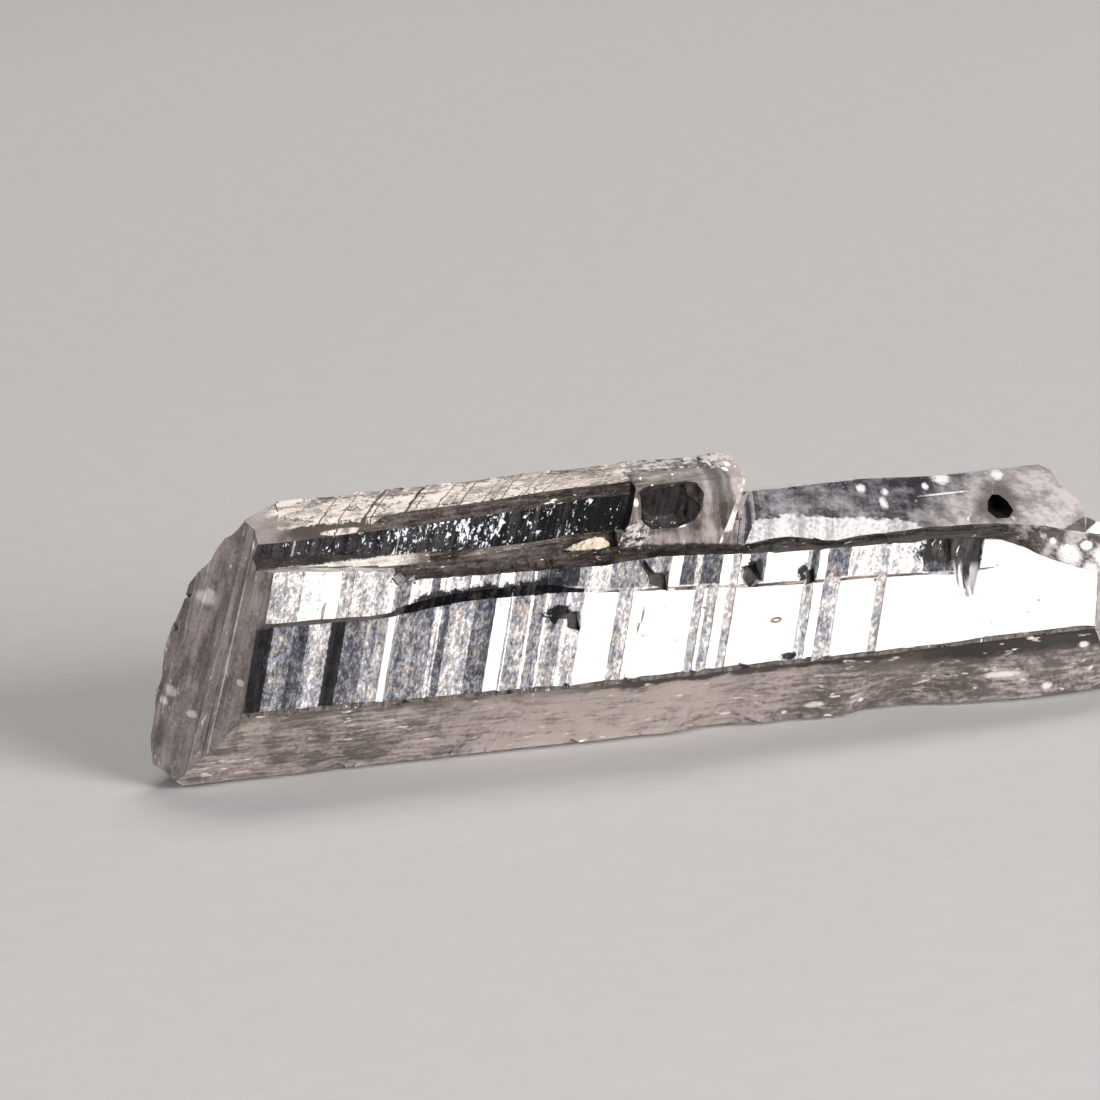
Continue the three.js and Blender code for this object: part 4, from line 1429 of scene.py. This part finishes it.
@dataclass
class Crystal:
    """The clear crystal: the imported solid's shape with its fine growth lines, frosting and breaks."""

    space: CrystalSpace
    name: str = "clear_lath"
    growth_lines: int = 44
    line_rise: tuple[float, float] = (0.002, 0.008)
    line_width: tuple[float, float] = (0.06, 0.28)
    line_fall: float = 0.02  # how wide a raised line's far slope is
    lines_along: tuple[float, float] = (0.5, 30.5)
    fine_from: float = 11.3  # beyond this far along, the lines rise less
    fine_share: float = 0.3
    risers: tuple[float, ...] = (0.8, 11.1)  # where growth steps run on into the bevel, along
    riser_width: float = 0.09
    riser_reach: float = 0.5
    smooth_below: float = 32.0  # degrees between faces
    seed: int = 5
    piece: Optional[Solid] = field(default=None, init=False)

    def build(self) -> Solid:
        """Make the piece, refine it, dress it and put it on its body.

        Returns:
            The finished object.
        """
        self._copy_solid()
        self._dress()
        self._refine_broken_ground()
        self._raise_growth_lines()
        self._roughen()
        self._shade()
        return Bench.hand_over(self.piece, "crystal", "clear_crystal")

    def _copy_solid(self) -> None:
        """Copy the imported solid, without its fixed shading."""
        self.piece = Bench.copy_of("crystal", self.name)
        for layer in list(self.piece.data.attributes):
            if layer.name.startswith("custom_normal") or layer.name == "sharp_edge":
                self.piece.data.attributes.remove(layer)

    def zone_of(self, polygon: bpy.types.MeshPolygon) -> Zone:
        """Tell which kind of face a polygon is, from its place and the way it faces.

        Args:
            polygon: a face of the piece.

        Returns:
            Its zone.
        """
        c = self.space.local(polygon.center)
        n = polygon.normal
        u = c.x - LEAN * (c.z - RIDGE_HEIGHT)
        if self._on_left_end(c, n, u):
            return Zone.LEFT_END
        if c.x > RIGHT_END_FROM and n.x > 0.35:
            return Zone.RIGHT_END
        on_upper = c.z > UPPER_BODY or (c.z > UPPER_FOOT and c.y > UPPER_FRONT and u < BLOCK_FROM)
        if c.x < UPPER_END and c.y < UPPER_BACK and n.y < 0.5 and on_upper:
            return self._upper_zone(c, n, u)
        if c.z < at(RIDGE, u) - RIDGE_UNDER and n.y < -0.15 and c.y < BEVEL_BACK:
            return Zone.BEVEL
        if c.z < at(RIDGE, u) + RIDGE_OVER and c.y < RIDGE_BACK:
            return Zone.RIDGE_LINE
        face_y = FRONT_LEAN * (c.z - RIDGE_HEIGHT)
        if c.z < at(FACE_TOP, u) + 0.04 and n.y < -0.3 and abs(c.y - face_y) < FACE_DEPTH:
            return self._face_zone(c, n, u, c.y - face_y)
        on_block = c.z > at(LEDGE, u) + 0.08 or (c.y > 1.45 and c.z > at(LEDGE, u) - 0.25)
        in_block = u > BLOCK_FROM and c.x < BLOCK_RIGHT and BLOCK_FRONT[0] < c.y < BLOCK_FRONT[1]
        if in_block and on_block:
            return Zone.BLOCK
        if c.y < LEDGE_BACK and at(FACE_TOP, u) - LEDGE_DROP < c.z < at(LEDGE, u) + 0.1:
            return Zone.SEAM if u < SEAM_END else Zone.LEDGE
        if c.y < PIT_BACK and c.z > PIT_FOOT:
            return Zone.PIT
        in_hole = HOLE_X[0] < c.x < HOLE_X[1] and c.y < HOLE_BACK and HOLE_Z[0] < c.z < HOLE_Z[1]
        if in_hole and (abs(n.y) < 0.5 or n.y < -0.9):
            return Zone.HOLLOW
        on_slope = u > SLOPE_FROM and SLOPE_FRONT < c.y < SLOPE_BACK and c.z > SLOPE_FOOT
        if on_slope and n.z > 0.2:
            return Zone.SLOPE
        return Zone.BACK

    @staticmethod
    def _on_left_end(c: Vector, n: Vector, u: float) -> bool:
        """Tell whether a face belongs to the left end.

        Args:
            c: the face's centre.
            n: its normal.
            u: its distance along.

        Returns:
            Whether it does.
        """
        edge = at(LEFT_EDGE, c.z) + LEFT_EDGE_BACK * (c.y - LEFT_EDGE_DEPTH)
        if c.y > 3.4 and c.x - edge < 0.3 and n.y < 0.9:
            return True
        limit = 1.2 if c.z > RIDGE_HEIGHT else 0.62
        return n.x < -0.5 and (u < limit or (c.x < 3.4 and c.z > 6.8))

    def _face_zone(self, c: Vector, n: Vector, u: float, depth: float) -> Zone:
        """The zone of a face on the broad front.

        Args:
            c: its centre.
            n: its normal.
            u: its distance along.
            depth: how far it lies behind the front's plane.

        Returns:
            Its zone.
        """
        if depth > DEEP and c.z < 6.6:
            return Zone.PIT
        if u < LAYER_END and n.z < 0.08 and abs(c.z - at(LAYER_LINE, u)) < 0.45:
            return Zone.LIP
        if n.x < -0.03:
            second = SECOND_STEP[0] < u < SECOND_STEP[1] and c.z < at(LAYER_LINE, u)
            dark = (u < LEFT_STEP and c.z < 5.5) or second
            return Zone.DARK_STEP if dark else Zone.STEP
        return Zone.BROAD

    def _upper_zone(self, c: Vector, n: Vector, u: float) -> Zone:
        """The zone of a face on the upper crystal.

        Args:
            c: its centre.
            n: its normal.
            u: its distance along.

        Returns:
            Its zone.
        """
        if u > BLOCK_START - 0.02:
            if (n.y < -0.8 and c.y > 2.0 and c.z < 9) or (n.x < -0.6 and u < BLOCK_START + 0.15):
                return Zone.HOLLOW
            (front, back), (foot, top) = BLOCK_PIT
            if front < c.y < back and foot < c.z < top and n.z > 0.5:
                return Zone.PIT
            if n.x > 0.5 and n.y < -0.4 and c.x > 18.7:
                return Zone.SEAM
            return Zone.BLOCK
        seam_top = at(SEAM_TOP, u)
        if c.z < at(BAND_FOOT, u) + 0.02:
            if c.z < seam_top - 0.02:
                return Zone.GREY
            return Zone.SEAM if u < 6.5 or n.z > 0.8 else Zone.GREY
        if c.z < at(BAND_TOP, u) + 0.02:
            return Zone.BAND
        if c.z > at(BEVEL_FOOT, u) - 0.03:
            return Zone.CREAM
        return Zone.CREAM if u < 4 else Zone.GREY

    def _dress(self) -> None:
        """Give every face its zone's material."""
        mesh = self.piece.data
        mesh.materials.clear()
        for zone in Zone:
            mesh.materials.append(FINISHES[zone].material(self.space))
        for polygon in mesh.polygons:
            polygon.material_index = self.zone_of(polygon).value

    def _pick_zone(self, zones: Sequence[Zone]) -> None:
        """In edit mode, select all faces of some zones.

        Args:
            zones: the zones.
        """
        bpy.ops.mesh.select_all(action="DESELECT")
        for zone in zones:
            self.piece.active_material_index = zone.value
            bpy.ops.object.material_slot_select()

    def _near_riser(self, point: Vector) -> bool:
        """Tell whether a point of the piece lies where a growth step runs on into the bevel.

        Args:
            point: the point, in metres.

        Returns:
            Whether it does.
        """
        place = self.space.local(point)
        along = place.x - LEAN * (place.z - RIDGE_HEIGHT)
        return any(abs(along - riser) < self.riser_reach for riser in self.risers)

    def _close_risers(self, zone: Zone, width: float) -> None:
        """Collapse a zone's short inner edges, where the growth steps run on into it.

        Args:
            zone: the zone.
            width: the longest edge to collapse.
        """
        mesh = self.piece.data
        rim = {v for p in mesh.polygons if p.material_index != zone.value for v in p.vertices}
        for element in (*mesh.polygons, *mesh.vertices, *mesh.edges):
            element.select = False
        for edge in mesh.edges:
            first, last = (mesh.vertices[v] for v in edge.vertices)
            short = (first.co - last.co).length < width
            if short and self._near_riser(first.co) and not rim.intersection(edge.vertices):
                edge.select = first.select = last.select = True
        Bench.only(self.piece)
        Bench.edit("EDGE")
        bpy.ops.mesh.merge(type="COLLAPSE")
        Bench.done()

    def _refine_broken_ground(self) -> None:
        """Subdivide the frosted and broken faces, so that they can be roughened, and ease the bevel."""
        Bench.only(self.piece)
        Bench.edit("FACE")
        for zones, cuts in FINER_ZONES:
            self._pick_zone(zones)
            bpy.ops.mesh.subdivide(number_cuts=cuts, ngon=True, quadcorner="INNERVERT")
        Bench.done()
        self._close_risers(Zone.BEVEL, self.riser_width * MM)
        Bench.edit("FACE")
        for zones, repeat in EASED_ZONES:
            self._pick_zone(zones)
            bpy.ops.mesh.select_less()
            bpy.ops.mesh.vertices_smooth(factor=0.5, repeat=repeat)
        Bench.done()

    def _raise_growth_lines(self) -> None:
        """Cut slanted growth lines across the broad face and raise each one a little."""
        rng = random.Random(self.seed)
        slant = Vector((1, 0, -LEAN)).normalized()
        Bench.only(self.piece)
        Bench.edit("VERT")
        for _ in range(self.growth_lines):
            start = rng.uniform(*self.lines_along)
            width = rng.uniform(*self.line_width)
            rise = rng.uniform(*self.line_rise) * (1.0 if start < self.fine_from else self.fine_share)
            for offset, lift in ((0.0, 0.0), (width, rise), (width + self.line_fall, 0.0)):
                point = self.space.scene(Vector((start + offset, 0, RIDGE_HEIGHT)))
                self._pick_zone((Zone.BROAD, Zone.STEP, Zone.DARK_STEP))
                bpy.ops.mesh.bisect(plane_co=point, plane_no=slant)
                if lift:
                    bpy.ops.transform.translate(value=(0, -lift * MM, 0))
        Bench.done()

    def _vertex_group(self, name: str, zones: Sequence[Zone]) -> None:
        """Put the inner vertices of some zones in a vertex group, so that their rims stay put.

        Args:
            name: the new group's name.
            zones: whose faces' vertices go in it.
        """
        Bench.only(self.piece)
        bpy.ops.object.vertex_group_add()
        self.piece.vertex_groups.active.name = name
        Bench.edit("FACE")
        self._pick_zone(zones)
        bpy.ops.mesh.select_less()
        bpy.ops.object.vertex_group_assign()
        Bench.done()

    def _roughen(self) -> None:
        """Wear the frosted and broken zones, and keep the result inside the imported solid's box."""
        for name, zones, size, depth in WORN_ZONES:
            self._vertex_group(name, zones)
            Bench.wear(self.piece, name, "CLOUDS", size, depth, name)
        low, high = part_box("crystal")
        for vertex in self.piece.data.vertices:
            vertex.co = Vector(min(max(v, a), b) for v, a, b in zip(vertex.co, low, high))

    def _shade(self) -> None:
        """Smooth the worn ground and keep the growth faces flat."""
        Bench.only(self.piece)
        bpy.ops.object.shade_smooth_by_angle(angle=math.radians(self.smooth_below))
        Bench.edit("FACE")
        self._pick_zone((Zone.BROAD, Zone.STEP, Zone.BACK))
        bpy.ops.mesh.faces_shade_flat()
        Bench.done()


# ---------------------------------------------------------------- the speck of matrix


@dataclass
class MatrixSpeck:
    """The cream grain in its niche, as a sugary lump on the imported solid's place."""

    space: CrystalSpace
    name: str = "matrix_lump"
    cuts: int = 8
    sugar_size: float = 0.13
    sugar_depth: float = 0.09
    smooth_below: float = 40.0  # degrees between faces

    def build(self) -> Solid:
        """Make the lump, dress it and put it on its body.

        Returns:
            The finished object.
        """
        piece = Bench.copy_of("matrix_grain", self.name, self.cuts)
        Bench.wear(piece, "sugar", "VORONOI", self.sugar_size, self.sugar_depth)
        bpy.ops.object.shade_smooth_by_angle(angle=math.radians(self.smooth_below))
        piece.data.materials.clear()
        piece.data.materials.append(MatrixFinish().material(self.space))
        return Bench.hand_over(piece, "matrix_grain", "cream_matrix")


# ---------------------------------------------------------------- the studio


def towards(azimuth: float, elevation: float) -> Vector:
    """The way from the crystal to a place, in degrees; azimuth 0 is the front and grows to the right."""
    turn, rise = math.radians(azimuth), math.radians(elevation)
    return Vector((math.sin(turn) * math.cos(rise), -math.cos(turn) * math.cos(rise), math.sin(rise)))


@dataclass(frozen=True)
class Panel:
    """A soft light panel, placed by the directions it fills as seen from the crystal.

    Azimuth 0 is the front and grows towards the right; degrees. Radiance is what its face shows.
    """

    name: str
    azimuth: tuple[float, float]
    elevation: tuple[float, float]
    distance: float
    radiance: float
    colour: Colour = (1.0, 1.0, 1.0)

    def build(self, target: Vector) -> Solid:
        """Hang the panel.

        Args:
            target: what it faces, in metres.

        Returns:
            The light.
        """
        azimuth, elevation = sum(self.azimuth) / 2, sum(self.elevation) / 2
        width, height = (
            2 * self.distance * math.tan(math.radians(high - low) / 2)
            for low, high in (self.azimuth, self.elevation)
        )
        width *= math.cos(math.radians(elevation))
        light = bpy.data.lights.new(self.name, "AREA")
        light.shape = "RECTANGLE"
        light.size = width
        light.size_y = height
        light.energy = self.radiance * width * height * math.pi
        light.color = self.colour
        way = towards(azimuth, elevation)
        lamp = bpy.data.objects.new(self.name, light)
        lamp.location = target + way * self.distance
        lamp.rotation_mode = "QUATERNION"
        lamp.rotation_quaternion = way.to_track_quat("Z", "Y")
        bpy.context.scene.collection.objects.link(lamp)
        return lamp


@dataclass
class Studio:
    """A pale floor, soft panels, a dim room and the camera."""

    space: CrystalSpace
    room_light: float = 0.12
    floor_size: float = 3.0
    floor_gap: float = 0.00015
    panels: tuple[Panel, ...] = (
        Panel("key_panel", (12.5, 42), (4, 26), 0.5, 20.0, (1.0, 0.98, 0.96)),
        Panel("side_panel", (5.5, 12.5), (4, 26), 0.5, 3.0, (0.96, 0.97, 1.0)),
        Panel("fill_panel", (-100, -45), (10, 50), 0.6, 0.8),
        Panel("back_panel", (138, 172), (40, 60), 0.6, 8.0, (1.0, 0.95, 0.9)),
    )
    camera_azimuth: float = -15.0
    camera_elevation: float = 10.0
    camera_roll: float = 3.4
    camera_distance: float = 230.0
    camera_near: float = 0.01
    camera_far: float = 10.0
    film_width: float = 36.0
    frame_width: float = 1100 / 28.0  # how wide the view is at the crystal, in mm
    aim: Vector = field(default_factory=lambda: Vector((12.25, 1.5, 7.12)))
    lit: Vector = field(default_factory=lambda: Vector((0.0008, -0.0026, 0.005)))  # in metres

    def build(self) -> None:
        """Set up the floor, the lights and the camera."""
        self._floor()
        self._room()
        for panel in self.panels:
            panel.build(self.lit)
        self._camera()
        bpy.context.scene.view_settings.view_transform = "Standard"

    def _floor(self) -> None:
        """Lay the floor just under the crystal."""
        bpy.ops.object.select_all(action="DESELECT")
        bpy.ops.mesh.primitive_plane_add(size=self.floor_size, location=(0, 0, -self.floor_gap))
        floor = bpy.context.object
        floor.name = "studio_floor"
        bpy.ops.object.transform_apply(location=True, rotation=True, scale=True)
        floor.data.materials.append(FloorFinish().material(self.space))

    def _room(self) -> None:
        """Fill the room with dim even light."""
        world = bpy.data.worlds.new("dim_room")
        world.use_nodes = True
        background = world.node_tree.nodes["Background"]
        background.inputs["Color"].default_value = (1, 1, 1, 1)
        background.inputs["Strength"].default_value = self.room_light
        bpy.context.scene.world = world

    def _camera(self) -> None:
        """Place the camera."""
        back = towards(self.camera_azimuth, self.camera_elevation)
        right = towards(self.camera_azimuth + 90, 0)
        up = back.cross(right)
        roll = math.radians(self.camera_roll)
        level = math.cos(roll) * right - math.sin(roll) * up
        upright = math.sin(roll) * right + math.cos(roll) * up
        lens = bpy.data.cameras.new("view")
        lens.sensor_width = self.film_width
        lens.lens = self.film_width * self.camera_distance / self.frame_width
        lens.clip_start = self.camera_near
        lens.clip_end = self.camera_far
        camera = bpy.data.objects.new("view", lens)
        matrix = Matrix((level, upright, back)).transposed().to_4x4()
        matrix.translation = self.space.scene(self.aim + back * self.camera_distance)
        camera.matrix_world = matrix
        bpy.context.scene.collection.objects.link(camera)
        bpy.context.scene.camera = camera


# ---------------------------------------------------------------- all together


def main() -> None:
    """Build the crystal, its matrix speck and the studio."""
    logging.basicConfig(level=logging.INFO, format="%(name)s: %(message)s")
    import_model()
    space = CrystalSpace.from_frame()
    Crystal(space).build()
    MatrixSpeck(space).build()
    Studio(space).build()
    LOG.info("studio ready")


if __name__ == "__main__":
    main()
